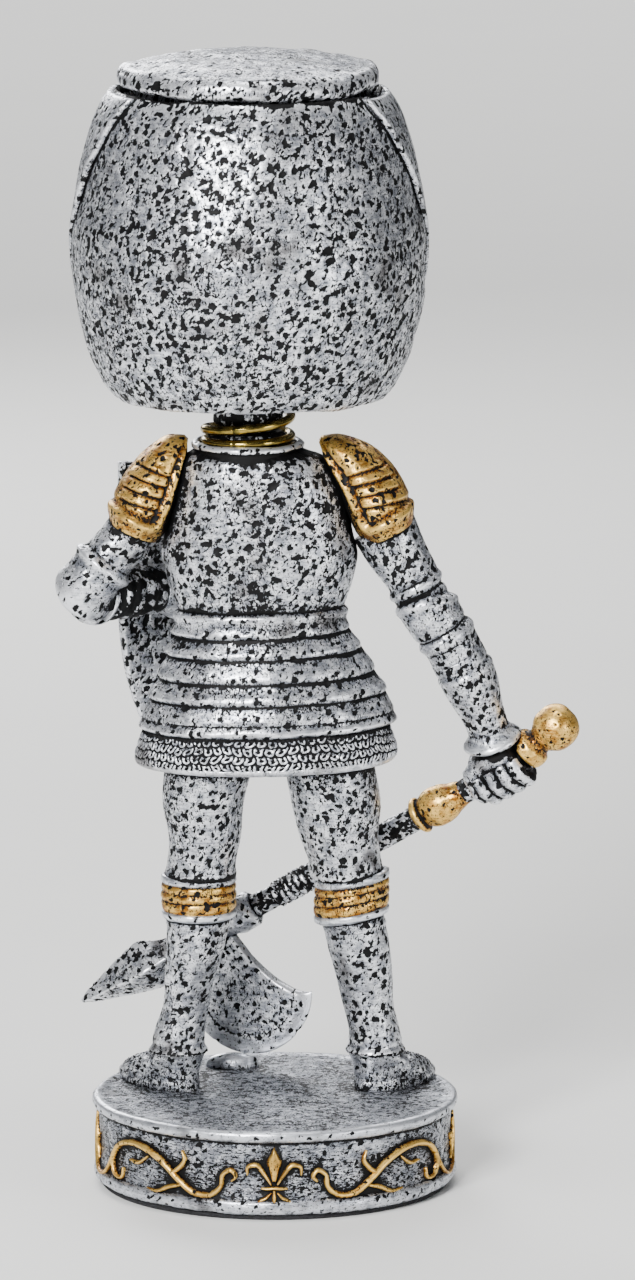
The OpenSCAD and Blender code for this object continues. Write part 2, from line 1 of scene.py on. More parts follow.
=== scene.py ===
# %% [markdown]
# # A bobble-head knight in cast resin
# The real object is a shop figurine: a knight in plate armour, cast in
# resin, standing on a round plinth, with a big closed helm that nods on a
# coil spring. The resin is black. Silver paint was brushed lightly over it,
# so it sits on whatever stands proud and leaves every pit and groove black.
# Shoulder plates, knee plates, the axe's knobs and the plinth's scrolls have
# a gold wash instead.
#
# The plain model is loaded first. It gives the size and the place of every
# part. Most new pieces are hung on an empty named for the body they ride on.

import bpy
import numpy as np
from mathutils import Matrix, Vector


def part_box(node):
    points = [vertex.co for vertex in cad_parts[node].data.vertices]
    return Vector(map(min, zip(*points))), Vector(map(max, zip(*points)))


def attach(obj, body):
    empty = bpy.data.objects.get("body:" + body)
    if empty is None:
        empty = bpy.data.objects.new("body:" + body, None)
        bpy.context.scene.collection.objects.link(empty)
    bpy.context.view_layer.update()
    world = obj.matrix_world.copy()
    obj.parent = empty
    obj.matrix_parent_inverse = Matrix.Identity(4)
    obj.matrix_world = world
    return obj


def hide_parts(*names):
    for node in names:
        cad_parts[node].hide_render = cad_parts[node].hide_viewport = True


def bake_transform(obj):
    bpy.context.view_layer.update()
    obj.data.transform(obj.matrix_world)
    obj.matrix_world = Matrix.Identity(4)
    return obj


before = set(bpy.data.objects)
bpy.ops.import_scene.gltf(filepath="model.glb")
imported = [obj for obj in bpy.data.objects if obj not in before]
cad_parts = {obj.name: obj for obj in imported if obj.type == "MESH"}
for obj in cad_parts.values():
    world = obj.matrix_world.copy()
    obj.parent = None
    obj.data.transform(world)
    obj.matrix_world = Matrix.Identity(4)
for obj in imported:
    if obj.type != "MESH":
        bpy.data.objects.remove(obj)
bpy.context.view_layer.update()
MM = 0.001
UP = np.array([0.0, 0.0, 1.0])


def box(node):
    """Lowest corner, highest corner and middle of a plain part, in mm."""
    low, high = (np.array(corner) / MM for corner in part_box(node))
    return low, high, (low + high) / 2


def half_width(node):
    """Half of a plain part's size from side to side, in mm."""
    low, high, _ = box(node)
    return (high[0] - low[0]) / 2


# %% [markdown]
# ## Grids
# Nearly every piece here is a stack of closed rings, like a pot on a wheel or
# a stocking on a leg. A ring is a row of points, a stack of rings is a grid,
# and a grid becomes faces by joining each point to its neighbours. Blender's
# own tools could make the same shapes, but a grid worked out with numpy keeps
# each shape a formula, and its points can be moved one by one afterwards,
# which the pitted surface needs.

# %% Rings into faces
def ring_faces(rows, cols, loop=False):
    """Four-sided faces between each ring and the next. The last column joins
    the first, and with `loop` the last ring joins the first one too."""
    i, j = np.meshgrid(np.arange(rows if loop else rows - 1), np.arange(cols), indexing="ij")
    i2, j2 = (i + 1) % rows, (j + 1) % cols
    corners = [i * cols + j, i * cols + j2, i2 * cols + j2, i2 * cols + j]
    return np.stack(corners, -1).reshape(-1, 4)


def solid_of_rings(rings, loop=False):
    """Points, four-sided faces and three-sided faces of a stack of rings. An
    open stack is closed by a fan to the middle of its first and last ring."""
    rows, cols = rings.shape[:2]
    points = rings.reshape(-1, 3)
    quads = ring_faces(rows, cols, loop)
    if loop:
        return points, quads, np.zeros((0, 3), int)
    j = np.arange(cols)
    j2 = (j + 1) % cols
    pole = np.full(cols, rows * cols)
    last = (rows - 1) * cols
    fans = np.vstack([np.stack([pole, j2, j], -1), np.stack([pole + 1, last + j, last + j2], -1)])
    return np.vstack([points, rings[0].mean(0), rings[-1].mean(0)]), quads, fans


def with_caps(rings, step):
    """Adds rings that shrink in even steps to the middle of the two end rings."""

    def shrink(ring):
        reach = np.linalg.norm(ring - ring.mean(0), axis=1).mean()
        share = np.linspace(1, 0, max(3, int(reach / step) + 1))[1:-1, None, None]
        return ring.mean(0) + share * (ring - ring.mean(0))

    return np.concatenate([shrink(rings[0])[::-1], rings, shrink(rings[-1])])


def facing(points, quads, tris):
    """The outward direction and the area at each point: every face gives its
    own, worked out from its diagonals, to its corners."""
    p = points
    square = np.cross(p[quads[:, 2]] - p[quads[:, 0]], p[quads[:, 3]] - p[quads[:, 1]]) / 2
    fan = np.cross(p[tris[:, 1]] - p[tris[:, 0]], p[tris[:, 2]] - p[tris[:, 0]]) / 2
    corner = np.concatenate([quads.ravel(), tris.ravel()])
    vector = np.vstack([np.repeat(square / 4, 4, axis=0), np.repeat(fan / 3, 3, axis=0)])
    total = np.stack([np.bincount(corner, vector[:, k], len(p)) for k in range(3)], -1)
    area = np.linalg.norm(total, axis=1)
    return total / np.maximum(area, 1e-9)[:, None], area


def outward(solid):
    """The solid with its faces turned outwards: the sum over the surface of
    place times direction is three times the volume, so a negative sum means
    that all the faces point in."""
    points, quads, tris = (np.array(part) for part in solid)
    normals, area = facing(points, quads, tris)
    if (points * normals * area[:, None]).sum() < 0:
        return points, quads[:, ::-1], tris[:, ::-1]
    return points, quads, tris


def joined(*solids):
    """Several solids as one: the face numbers of each are moved on by the
    number of points that come before it."""
    solids = [outward(s) for s in solids]
    first = np.cumsum([0] + [len(s[0]) for s in solids])
    return (
        np.vstack([s[0] for s in solids]),
        np.vstack([s[1] + n for s, n in zip(solids, first)]),
        np.vstack([s[2] + n for s, n in zip(solids, first)]),
    )


def sheet_between(front, back, keep=None):
    """A closed sheet between two open grids of points. `keep` says which faces
    of the grid are kept; every edge that only one kept face has gets a wall."""
    rows, cols = front.shape[:2]
    i, j = np.meshgrid(np.arange(rows - 1), np.arange(cols - 1), indexing="ij")
    a = i * cols + j
    quads = np.stack([a, a + 1, a + 1 + cols, a + cols], -1)
    quads = quads.reshape(-1, 4) if keep is None else quads[keep]
    edges = np.stack([quads, np.roll(quads, -1, axis=1)], -1).reshape(-1, 2)
    count = rows * cols
    there, back_again = edges @ [count, 1], edges @ [1, count]
    rim = edges[~np.isin(there, back_again)]
    walls = np.stack([rim[:, 1], rim[:, 0], rim[:, 0] + count, rim[:, 1] + count], -1)
    every = np.vstack([quads, quads[:, ::-1] + count, walls])
    used, numbers = np.unique(every, return_inverse=True)
    points = np.vstack([front.reshape(-1, 3), back.reshape(-1, 3)])[used]
    return points, numbers.reshape(-1, 4), np.zeros((0, 3), int)


print("a ring of 4 has", len(ring_faces(2, 4)), "faces to the next ring")

# %% Lines to carry a shape along
def curve_through(points, step):
    """A smooth line through the points. Between two points it is the cubic
    whose slope at each end is the average slope there. Samples lie about
    `step` mm apart, and any further numbers in a point are carried along."""
    p = np.asarray(points, float)
    gaps = np.linalg.norm(np.diff(p[:, :3], axis=0), axis=1)
    at = np.concatenate([[0], np.cumsum(gaps)])
    slope = np.gradient(p, at, axis=0)
    s = np.linspace(0, at[-1], max(3, int(round(at[-1] / step)) + 1))
    i = np.clip(np.searchsorted(at, s, side="right") - 1, 0, len(at) - 2)
    h = (at[i + 1] - at[i])[:, None]
    t = (s - at[i])[:, None] / h
    start = (2 * t**3 - 3 * t**2 + 1) * p[i] + (t**3 - 2 * t**2 + t) * h * slope[i]
    end = (3 * t**2 - 2 * t**3) * p[i + 1] + (t**3 - t**2) * h * slope[i + 1]
    return start + end


def cornered(points, step):
    """The broken line through the points, cut into stretches of about `step`
    mm. Every given corner stays."""
    p = np.asarray(points, float)
    parts = [
        np.linspace(a, b, int(np.ceil(np.linalg.norm(b - a) / step)) + 1)[:-1]
        for a, b in zip(p, p[1:])
    ]
    return np.vstack([*parts, p[-1:]])


def lathe(profile, foot, way=UP, step=0.4, loop=False):
    """A turned shape: each profile point (radius, height) becomes a ring round
    the axis that starts at `foot` and runs along `way`."""
    way = np.asarray(way, float) / np.linalg.norm(way)
    side = np.cross(way, [0, 1, 0]) if abs(way[1]) < 0.9 else np.cross(way, [1, 0, 0])
    side /= np.linalg.norm(side)
    cols = max(24, int(2 * np.pi * profile[:, 0].max() / step))
    a = np.linspace(0, 2 * np.pi, cols, endpoint=False)
    round_ = np.outer(np.cos(a), side) + np.outer(np.sin(a), np.cross(way, side))
    rings = foot + profile[:, 1, None, None] * way + profile[:, 0, None, None] * round_
    return solid_of_rings(rings, loop)


def loft(stations, step=0.4, relief=None, section=None, cap=1.0):
    """A limb: ovals carried along a smooth line. A station is centre (3
    numbers), direction (3), half width and half depth. `section` gives a
    share of the radius for each angle, and `relief` adds mm to it for each
    angle and each distance along the limb."""
    line = curve_through(stations, step)
    way = line[:, 3:6] / np.linalg.norm(line[:, 3:6], axis=1, keepdims=True)
    u = np.cross(way, [0, 1, 0])
    u /= np.linalg.norm(u, axis=1, keepdims=True)
    v = np.cross(way, u)
    along = np.concatenate([[0], np.cumsum(np.linalg.norm(np.diff(line[:, :3], axis=0), axis=1))])
    cols = max(24, 4 * int(np.pi * line[:, 6:8].max() / step / 2))
    a = np.linspace(0, 2 * np.pi, cols, endpoint=False)[None, :]
    share = 1.0 if section is None else section(a)
    more = 0.0 if relief is None else relief(a, along[:, None])
    across = ((line[:, 6, None] * share + more) * np.cos(a))[..., None]
    deep = ((line[:, 7, None] * share + more) * np.sin(a))[..., None]
    rings = line[:, None, :3] + across * u[:, None] + deep * v[:, None]
    return solid_of_rings(with_caps(rings, cap))


def ridge(x, at, width):
    """A rounded ridge, 1 high where x is `at`, and gone about 2 widths away."""
    return np.exp(-(((x - at) / width) ** 2))


def step_up(x, start, end):
    """0 before start, 1 after end, and a smooth S between."""
    t = np.clip((x - start) / (end - start), 0, 1)
    return t * t * (3 - 2 * t)


print("a 10 mm line at 0.4 mm has", len(cornered([[0, 0], [10, 0]], 0.4)), "points")

# %% [markdown]
# ## Unevenness and pits
# The armour was sculpted by hand, so nothing on it is quite straight, and it
# was stippled all over with sharp pits 0.2 to 1.1 mm across. A texture could
# only paint those. Here each point of a piece is moved: in space there is an
# invisible lattice, each lattice cell holds one ball of random size, and
# wherever a ball cuts the surface there is a pit. The distance to the ball's
# edge is stored with the point, so that the paint knows where the pits are.

# %% Noise in space
def scatter(cell, seed):
    """A fixed random number from 0 to 1 for every lattice cell: its three
    whole numbers are multiplied by big primes, mixed and cut short."""
    c = cell.astype(np.int64).astype(np.uint64)
    mixed = c[..., 0] * np.uint64(73856093) ^ c[..., 1] * np.uint64(19349663)
    mixed = mixed ^ c[..., 2] * np.uint64(83492791) ^ np.uint64(seed * 2654435761)
    mixed = (mixed ^ (mixed >> np.uint64(15))) * np.uint64(2246822519)
    mixed = (mixed ^ (mixed >> np.uint64(13))) * np.uint64(3266489917)
    return ((mixed >> np.uint64(16)) & np.uint64(0xFFFF)) / 65535.0


def soft_noise(points, size, seed):
    """Smooth noise from -1 to 1. The eight corners of the lattice cell round
    a point, `size` mm apart, are averaged with smooth weights."""
    q = points / size
    base = np.floor(q)
    f = q - base
    f = f * f * (3 - 2 * f)
    total = np.zeros(len(points))
    for corner in np.ndindex(2, 2, 2):
        weight = np.prod(np.where(corner, f, 1 - f), axis=1)
        total += weight * scatter(base + corner, seed)
    return 2 * total - 1


def pit_edge(points, size, small, large, seed):
    """Distance in mm to the edge of the nearest ball, negative inside it. The
    balls' radii run from `small` to `large`, one ball in each cell of `size`."""
    bent = np.stack([soft_noise(points, 0.7, seed + k) for k in (7, 8, 9)], -1)
    q = (points + 0.28 * bent) / size
    base = np.floor(q)
    nearest = np.full(len(points), 9.0)
    for corner in np.ndindex(3, 3, 3):
        cell = base + corner - 1
        centre = cell + np.stack([scatter(cell, seed + k) for k in (1, 2, 3)], -1)
        radius = small + (large - small) * scatter(cell, seed + 4)
        nearest = np.minimum(nearest, np.linalg.norm(q - centre, axis=1) * size - radius)
    return nearest


sample = np.random.default_rng(1).uniform(0, 40, (20000, 3))
in_pits = (pit_edge(sample, 1.12, 0.1, 0.56, 40) < 0).mean()
print("share of a surface inside pits:", round(float(in_pits), 2))


def drawn_line(distance, half_width, points, seed):
    """The paint's view of a line cut into a surface: negative within
    `half_width` of it, with an edge that wavers as a hand-cut line does."""
    waver = 0.5 * soft_noise(points, 2.6, seed) + 0.5 * soft_noise(points, 0.8, seed + 1)
    return np.abs(distance + 0.16 * waver) - half_width * (1 + 0.5 * waver)


# %% A piece
PIECES = []


def piece(name, solid, paint, replaces=(), body="figure",
          pits=1.0, uneven=0.1, inked=None, lean=None, wash_and_shade=1.0):
    """Makes a solid into a Blender object, stippled and slightly uneven.
    `wash_and_shade` limits how deep in the black wash and painted shade of hollows the piece counts, 0 for
    none.
    `inked` gives a distance for each point, like a pit's, that the paint
    leaves black where it is negative, as inside a slit; several pieces also use
    it for painted shade under an overlapping part."""
    points, quads, tris = outward(solid)
    normals, _ = facing(points, quads, tris)
    rest = points.copy()
    if lean is not None:
        points = lean(points)
    wobble = uneven * soft_noise(rest, 5.5, 21) + 0.4 * uneven * soft_noise(rest, 1.7, 22)
    points = points + normals * wobble[:, None]
    pit = np.full(len(points), 1.0)
    if np.max(pits) > 0:
        large = pit_edge(rest, 1.12, 0.1, 0.56, 40)
        fine = pit_edge(rest, 0.62, 0.0, 0.27, 60)
        pit = np.minimum(large, fine) + 0.3 * (1 - pits)
        points = points - normals * (0.18 * step_up(-pit, -0.06, 0.2))[:, None]
    if inked is not None:
        pit = np.minimum(pit, inked)
    mesh = bpy.data.meshes.new(name)
    mesh.from_pydata((points * MM).tolist(), [], quads.tolist() + tris.tolist())
    mesh.polygons.foreach_set("use_smooth", np.ones(len(mesh.polygons), bool))
    mesh.attributes.new("pit", "FLOAT", "POINT").data.foreach_set("value", pit.astype(np.float32))
    mesh.materials.append(paint)
    made = bpy.data.objects.new(name, mesh)
    bpy.context.scene.collection.objects.link(made)
    if body:
        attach(made, body)
    if replaces:
        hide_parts(*replaces)
    normals, area = facing(points, quads, tris)
    PIECES.append((made, points, normals, area, np.full(len(points), wash_and_shade)))
    print(f"{name}: {len(quads) + len(tris)} faces")
    return made

# %% [markdown]
# ## Paint
# Each finish starts from a real one. The silver is a metal-flake lacquer
# dry-brushed over black resin, so it is a metal only where the brush touched
# it. The gold wash is thinner and browner in the hollows. Two fields that
# are worked out later from the finished shape guide both: `recess`, which is
# positive in grooves and negative on edges, and `hollow`, the same on a
# larger scale. `hollow` also paints shade: broad hollows under the collar, the
# arms and the plates are left black as painted shade, besides the resin that
# the brush missed there.

# %% Nodes
def colour(code):
    """A hex sRGB colour as the linear colour Blender wants."""
    parts = np.array([int(code[k:k + 2], 16) for k in (1, 3, 5)]) / 255
    linear = np.where(parts < 0.04045, parts / 12.92, ((parts + 0.055) / 1.055) ** 2.4)
    return (*linear.tolist(), 1.0)


def add(tree, kind, inputs, out=0, **settings):
    """Adds one node and gives back one of its outputs. A value in `inputs` is
    a number, a colour, or another node's output to link."""
    node = tree.nodes.new(kind)
    for key, value in settings.items():
        setattr(node, key, value)
    for key, value in inputs.items():
        if isinstance(value, bpy.types.NodeSocket):
            tree.links.new(value, node.inputs[key])
        else:
            node.inputs[key].default_value = value
    return node.outputs[out]


def finish_named(name):
    """A new material with an empty node tree, its shader and its output."""
    paint = bpy.data.materials.new(name)
    paint.use_nodes = True
    tree = paint.node_tree
    tree.nodes.clear()
    shader = tree.nodes.new("ShaderNodeBsdfPrincipled")
    output = tree.nodes.new("ShaderNodeOutputMaterial")
    tree.links.new(shader.outputs[0], output.inputs["Surface"])
    return paint, tree, shader


def grain(tree, size, detail=3.0, stretch=None, rough=0.6):
    """Noise from 0 to 1 with features about `size` mm across, read from the
    object's own coordinates, which are metres. `stretch` draws it out."""
    place = add(tree, "ShaderNodeTexCoord", {}, "Object")
    if stretch is not None:
        place = add(tree, "ShaderNodeMapping",
                    {"Vector": place, "Rotation": stretch[0], "Scale": stretch[1]})
    return add(
        tree, "ShaderNodeTexNoise",
        {"Vector": place, "Scale": 1000 / size, "Detail": detail, "Roughness": rough}, "Fac",
    )


def ramp(tree, value, low, high, to_low=0.0, to_high=1.0):
    """`value` turned into to_low below `low`, to_high above `high`, smooth between."""
    ends = {"Value": value, "From Min": low, "From Max": high, "To Min": to_low, "To Max": to_high}
    return add(tree, "ShaderNodeMapRange", ends, "Result", interpolation_type="SMOOTHSTEP")


def sums(tree, operation, a, b):
    """One step of arithmetic on two numbers or outputs."""
    return add(tree, "ShaderNodeMath", {0: a, 1: b}, 0, operation=operation)


def mixed(tree, share, a, b):
    """Colour a where share is 0, colour b where it is 1."""
    return add(tree, "ShaderNodeMix", {0: share, 6: a, 7: b}, 2, data_type="RGBA")


# %% Brushed resin, silver or gold
BLACK_RESIN = colour("#050506")


def brushed_resin(name, *tones, metal=0.8, cover=1.0, streak=0.0, level=False):
    """Cast resin dyed black under a dry-brushed metal lacquer. The lacquer's
    cover is the product of four masks: outside a pit, outside a groove, outside
    a broad hollow, and not in the fine flecks that the brush skipped. The
    broad-hollow mask and the extra flecks in hollows are partly resin that the
    brush missed and partly painted shade, black where shade falls under collars,
    arms and plates. `tones` are the lacquer's thin edge, its body, its highlights
    and its smudges."""
    shadow, body_tone, light, smudge = (colour(code) for code in tones)
    paint, tree, shader = finish_named(name)
    pit = add(tree, "ShaderNodeAttribute", {}, "Fac", attribute_name="pit")
    recess = add(tree, "ShaderNodeAttribute", {}, "Fac", attribute_name="recess")
    hollow = add(tree, "ShaderNodeAttribute", {}, "Fac", attribute_name="hollow")
    ragged = grain(tree, 0.55, 4, rough=0.7)
    # the pit's edge wanders by about a fifth of a millimetre
    edge = sums(tree, "ADD", pit, sums(tree, "MULTIPLY", sums(tree, "SUBTRACT", ragged, 0.5), 0.65))
    open_ = ramp(tree, edge, -0.02, 0.06)
    # the wash stays in grooves, broken up by the same grain
    groove = sums(tree, "ADD", recess, sums(tree, "MULTIPLY", sums(tree, "SUBTRACT", ragged, 0.5), 0.35))
    # broad hollows stay black: partly resin that the brush missed, partly painted shade where shade falls
    # under collars, arms and plates
    broad = sums(tree, "SUBTRACT", grain(tree, 1.1, 4), 0.5)
    deep = sums(tree, "ADD", hollow, sums(tree, "MULTIPLY", broad, 0.6))
    dry = sums(tree, "MULTIPLY", ramp(tree, groove, 0.09, 0.24, 1, 0), ramp(tree, deep, 0.12, 0.5, 1, 0))
    # short flecks where the brush skipped: more of them near a groove, fewer on an edge, and more in broad
    # hollows as painted shade
    patch = grain(tree, 7.0, 2)
    drawn = ((0, 0, 0), (0.4, 0.4, 1.7)) if level else ((0.4, 0.3, 0.6), (1, 1, 0.55))
    fleck_a = grain(tree, 0.42, 2, drawn, 0.75)
    fleck_b = grain(tree, 0.3, 2, ((0.2, -0.5, -0.7), (1, 0.5, 1)), 0.75)
    fleck = sums(tree, "MINIMUM", fleck_a, sums(tree, "ADD", fleck_b, 0.02))
    bare = sums(tree, "ADD", sums(tree, "MULTIPLY", patch, 0.2), sums(tree, "MULTIPLY", recess, 0.25))
    bare = sums(tree, "ADD", bare, ramp(tree, hollow, -0.35, 0.5, 0, 0.16))
    brushed = ramp(tree, sums(tree, "SUBTRACT", fleck, bare), 0.345 - 0.05 * cover, 0.40 - 0.05 * cover)
    lacquer = sums(tree, "MULTIPLY", sums(tree, "MULTIPLY", open_, dry), brushed)
    # the lacquer itself: brighter on edges, drawn into fine streaks, smudged here and there
    tone = sums(tree, "ADD", grain(tree, 1.6, 5), sums(tree, "MULTIPLY", recess, -0.55))
    hairs = grain(tree, 0.5, 2, ((0, 0, 0), (0.25, 0.25, 1.6)))
    tone = sums(tree, "ADD", tone, sums(tree, "MULTIPLY", sums(tree, "SUBTRACT", hairs, 0.5), 0.5 + streak))
    metal_colour = mixed(tree, ramp(tree, tone, 0.36, 0.74), body_tone, light)
    dirt = ramp(tree, grain(tree, 8.0, 3), 0.56, 0.72, 0, 0.7)
    metal_colour = mixed(tree, dirt, metal_colour, smudge)
    edge_of_cover = mixed(tree, ramp(tree, lacquer, 0.0, 0.55), BLACK_RESIN, shadow)
    surface = mixed(tree, ramp(tree, lacquer, 0.35, 0.95), edge_of_cover, metal_colour)
    tree.links.new(surface, shader.inputs["Base Color"])
    tree.links.new(sums(tree, "MULTIPLY", lacquer, metal), shader.inputs["Metallic"])
    gloss = ramp(tree, sums(tree, "ADD", lacquer, grain(tree, 2.5, 2)), 0.2, 1.7, 0.6, 0.32)
    tree.links.new(gloss, shader.inputs["Roughness"])
    height = sums(tree, "ADD", lacquer, sums(tree, "MULTIPLY", grain(tree, 0.35, 3), 0.5))
    bump = add(tree, "ShaderNodeBump", {"Strength": 0.5, "Distance": 0.00012, "Height": height})
    tree.links.new(bump, shader.inputs["Normal"])
    # bare resin is matt: little of the room shows in the pits
    shader.inputs["Specular IOR Level"].default_value = 0.16
    return paint


silver = brushed_resin("silver_brushed_black_resin", "#1B1C20", "#8E929B", "#F0F2F7", "#4A443F")
# borders and rolls were rubbed again, so more of them is covered
smooth_silver = brushed_resin("silver_rubbed_black_resin", "#1B1C20", "#9EA2AB", "#EEF1F6", "#65656A",
                              cover=2.0, streak=0.3)
gold = brushed_resin("gold_washed_black_resin", "#2C1A08", "#935A16", "#F0C468", "#5A3410", cover=0.9)
# the plinth was brushed round and round, so its bare flecks are drawn out level
plinth_silver = brushed_resin("silver_brushed_plinth_resin", "#1B1C20", "#80848D", "#D5D8DF", "#565454",
                              cover=0.8, level=True)
print("paints:", [m.name for m in (silver, smooth_silver, gold, plinth_silver)])

# %% Spring wire, pins and felt
def drawn_wire(name, tone, worn, rough):
    """Drawn metal wire: a bright metal with fine lines and patches of tarnish."""
    paint, tree, shader = finish_named(name)
    patch = ramp(tree, grain(tree, 1.4, 3), 0.45, 0.7)
    tree.links.new(mixed(tree, patch, tone, worn), shader.inputs["Base Color"])
    shader.inputs["Metallic"].default_value = 1.0
    gloss = ramp(tree, grain(tree, 0.5, 2), 0.3, 0.7, rough, rough + 0.14)
    tree.links.new(gloss, shader.inputs["Roughness"])
    drawn = grain(tree, 0.15, 2)
    bump = add(tree, "ShaderNodeBump", {"Strength": 0.25, "Distance": 0.00003, "Height": drawn})
    tree.links.new(bump, shader.inputs["Normal"])
    return paint


# brass-plated spring steel, lacquered, so it keeps sharp highlights
brass = drawn_wire("brass_plated_wire", colour("#A08A44"), colour("#5E5428"), 0.12)
# bright mild-steel wire, straightened and cut
steel = drawn_wire("drawn_steel_wire", colour("#A6A8AB"), colour("#84868A"), 0.3)

felt, tree, shader = finish_named("black_wool_felt")
# pressed wool: no gloss, and tangled fibres about 0.3 mm apart
fibres = grain(tree, 0.3, 4, ((0.5, 0.2, 0.9), (1, 0.35, 1)))
wool = mixed(tree, ramp(tree, fibres, 0.35, 0.7), colour("#0B0B0D"), colour("#2A2A2E"))
tree.links.new(wool, shader.inputs["Base Color"])
shader.inputs["Roughness"].default_value = 0.95
tangle = add(tree, "ShaderNodeBump", {"Strength": 0.7, "Distance": 0.0001, "Height": fibres})
tree.links.new(tangle, shader.inputs["Normal"])

PINS = ("ankle_pin_left", "ankle_pin_right", "shoulder_pin_left", "shoulder_pin_right", "axe_core_wire")
for node in PINS:
    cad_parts[node].data.materials.clear()
    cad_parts[node].data.materials.append(steel)
print("wire, pins and felt painted")

# %% [markdown]
# ## Plinth
# The plinth is one turned disc with a groove under its rim and a foot ring,
# on a pad of felt. A profile spun round an axis gives it; the lathe of the
# grid section keeps the same even mesh as everything else. The scrolls are
# strands laid on the wall: lines drawn on the unrolled wall, wrapped round
# it, and given a half-round section that swells and tapers.

# %% Disc and felt
base_r = half_width("base_casting")
base_h = box("base_casting")[1][2]
wall_r = base_r - 0.8
pad_top = box("base_pad")[1][2]
foot = np.zeros(3)

rim_z = base_h - 1.8
disc = cornered(
    [
        [0.05, pad_top], [wall_r - 0.2, pad_top], [wall_r + 0.35, pad_top + 0.35],
        [wall_r + 0.6, pad_top + 1.0], [wall_r + 0.45, 3.0], [wall_r - 0.1, 3.4], [wall_r - 0.35, 5.5],
        [wall_r - 0.4, 8.5], [wall_r - 0.2, 11.6], [wall_r - 0.25, rim_z - 0.25],
        [base_r - 0.25, rim_z + 0.1],
        [base_r, rim_z + 0.6], [base_r - 0.1, base_h - 0.4], [base_r - 0.6, base_h - 0.05],
        [base_r - 2.5, base_h - 0.25],
        [0.05, base_h - 0.2],
    ],
    0.42,
)
turned = lathe(disc, foot, step=0.42)
on_top = turned[0][:, 2] > base_h - 0.5
piece("plinth", turned, plinth_silver, ["base_casting"], pits=np.where(on_top, 0.2, 0.7), uneven=0.14,
      wash_and_shade=np.where(on_top, 0.0, 1.0))

pad = cornered([[0.05, 0.02], [wall_r - 0.8, 0.02], [wall_r - 0.6, 0.25], [wall_r - 0.6, 0.95],
                [0.05, 0.98]], 0.8)
piece("felt_pad", lathe(pad, foot, step=0.8), felt, ["base_pad"], pits=0, uneven=0.0)

# %% Scrolls and lilies
def strand(path, thick, step=0.3):
    """A rounded strand on the unrolled wall. `path` points are distance round
    the wall, height and half width; at each, a ring of the half width across
    and `thick` outwards is laid, half sunk in the wall, and wrapped round it."""
    line = curve_through(path, step)
    run = np.gradient(line[:, :2], axis=0)
    run /= np.linalg.norm(run, axis=1, keepdims=True)
    a = np.linspace(0, 2 * np.pi, 14, endpoint=False)[None, :]
    wide = np.maximum(0.66 * line[:, 2], 0.08)[:, None]
    s = line[:, 0, None] - run[:, 1, None] * wide * np.cos(a)
    z = line[:, 1, None] + run[:, 0, None] * wide * np.cos(a)
    out = thick * np.minimum(1, 0.35 + wide / 0.7) * np.sin(a)
    turn = s / wall_r
    radius = wall_r - 0.3 + out
    return np.stack([radius * np.sin(turn), radius * np.cos(turn), z], -1)


# half of one scroll, from the lily at 0 to the plinth's side at a quarter turn
quarter = wall_r * np.pi / 2
SCROLL = [
    [[6.9, 6.3, 0.3], [6.2, 7.1, 0.5], [6.9, 8.1, 0.6], [8.2, 7.4, 0.6], [8.6, 5.4, 0.65], [10.4, 3.9, 0.8],
     [13.0, 3.9, 0.9], [16.0, 5.7, 0.9], [19.2, 8.2, 0.9], [23.2, 9.9, 0.9], [27.3, 10.0, 0.8],
     [30.8, 8.5, 0.75],
     [32.3, 6.0, 0.7], [31.2, 4.0, 0.6], [29.0, 4.1, 0.5], [28.8, 5.6, 0.3]],
    [[17.6, 6.6, 0.5], [16.0, 7.6, 0.7], [14.9, 9.2, 0.5], [15.4, 10.6, 0.2]],
    [[15.4, 5.0, 0.4], [17.8, 4.4, 0.7], [20.4, 3.3, 0.5], [22.6, 3.5, 0.2]],
    [[22.4, 8.6, 0.2], [24.6, 7.2, 0.5], [26.8, 7.3, 0.25]],
    [[32.6, 7.0, 0.3], [34.2, 4.6, 0.6], [37.2, 2.9, 0.7], [40.6, 3.3, 0.7], [43.2, 5.8, 0.6],
     [quarter - 0.5, 9.4, 0.45],
     [quarter - 0.3, 11.4, 0.2]],
    [[40.4, 4.6, 0.2], [41.6, 6.6, 0.45], [41.0, 8.6, 0.25]],
]
LILY_SIDE = [
    [[0.5, 5.9, 0.3], [1.5, 7.5, 0.55], [3.0, 9.1, 0.65], [4.2, 8.7, 0.5], [4.3, 7.4, 0.25]],
    [[0.5, 4.6, 0.3], [1.4, 3.7, 0.45], [2.5, 3.1, 0.4], [2.7, 2.3, 0.2]],
]
LILY_MIDDLE = [
    [[0, 12.0, 0.1], [0, 11.0, 0.8], [0, 9.6, 1.9], [0, 8.1, 1.2], [0, 6.4, 0.5]],
    [[-2.1, 5.3, 0.3], [-1.0, 5.25, 0.45], [0, 5.35, 0.5], [1.0, 5.25, 0.45], [2.1, 5.3, 0.3]],
    [[0, 5.0, 0.35], [0, 3.6, 0.6], [0, 2.6, 0.4], [0, 1.7, 0.1]],
]
mirror = np.array([-1.0, 1.0, 1.0])
strands = []
for half_turn in (0.0, np.pi * wall_r):
    shift = np.array([half_turn, 0.0, 0.0])
    strands += [strand(np.array(path) + shift, 0.85) for path in LILY_MIDDLE]
    for hand in (np.ones(3), mirror):
        strands += [strand(np.array(path) * hand + shift, 0.85) for path in SCROLL + LILY_SIDE]
piece("plinth_scrolls", joined(*[solid_of_rings(s) for s in strands]), gold, ["base_relief"],
      pits=0.35, uneven=0.06)
print("strands on the wall:", len(strands))

# %% [markdown]
# ## Legs
# A leg is four castings that overlap like real armour: foot plates, a greave
# on the shin, a knee cup and a thigh plate. Each is a loft, ovals carried up
# the leg, because an oval every few millimetres is how a sculptor would
# measure it. Grooves and rolled edges are added to the ovals as formulas.

# %% Greaves, knees and thighs
HANDS = (("left", 1), ("right", -1))
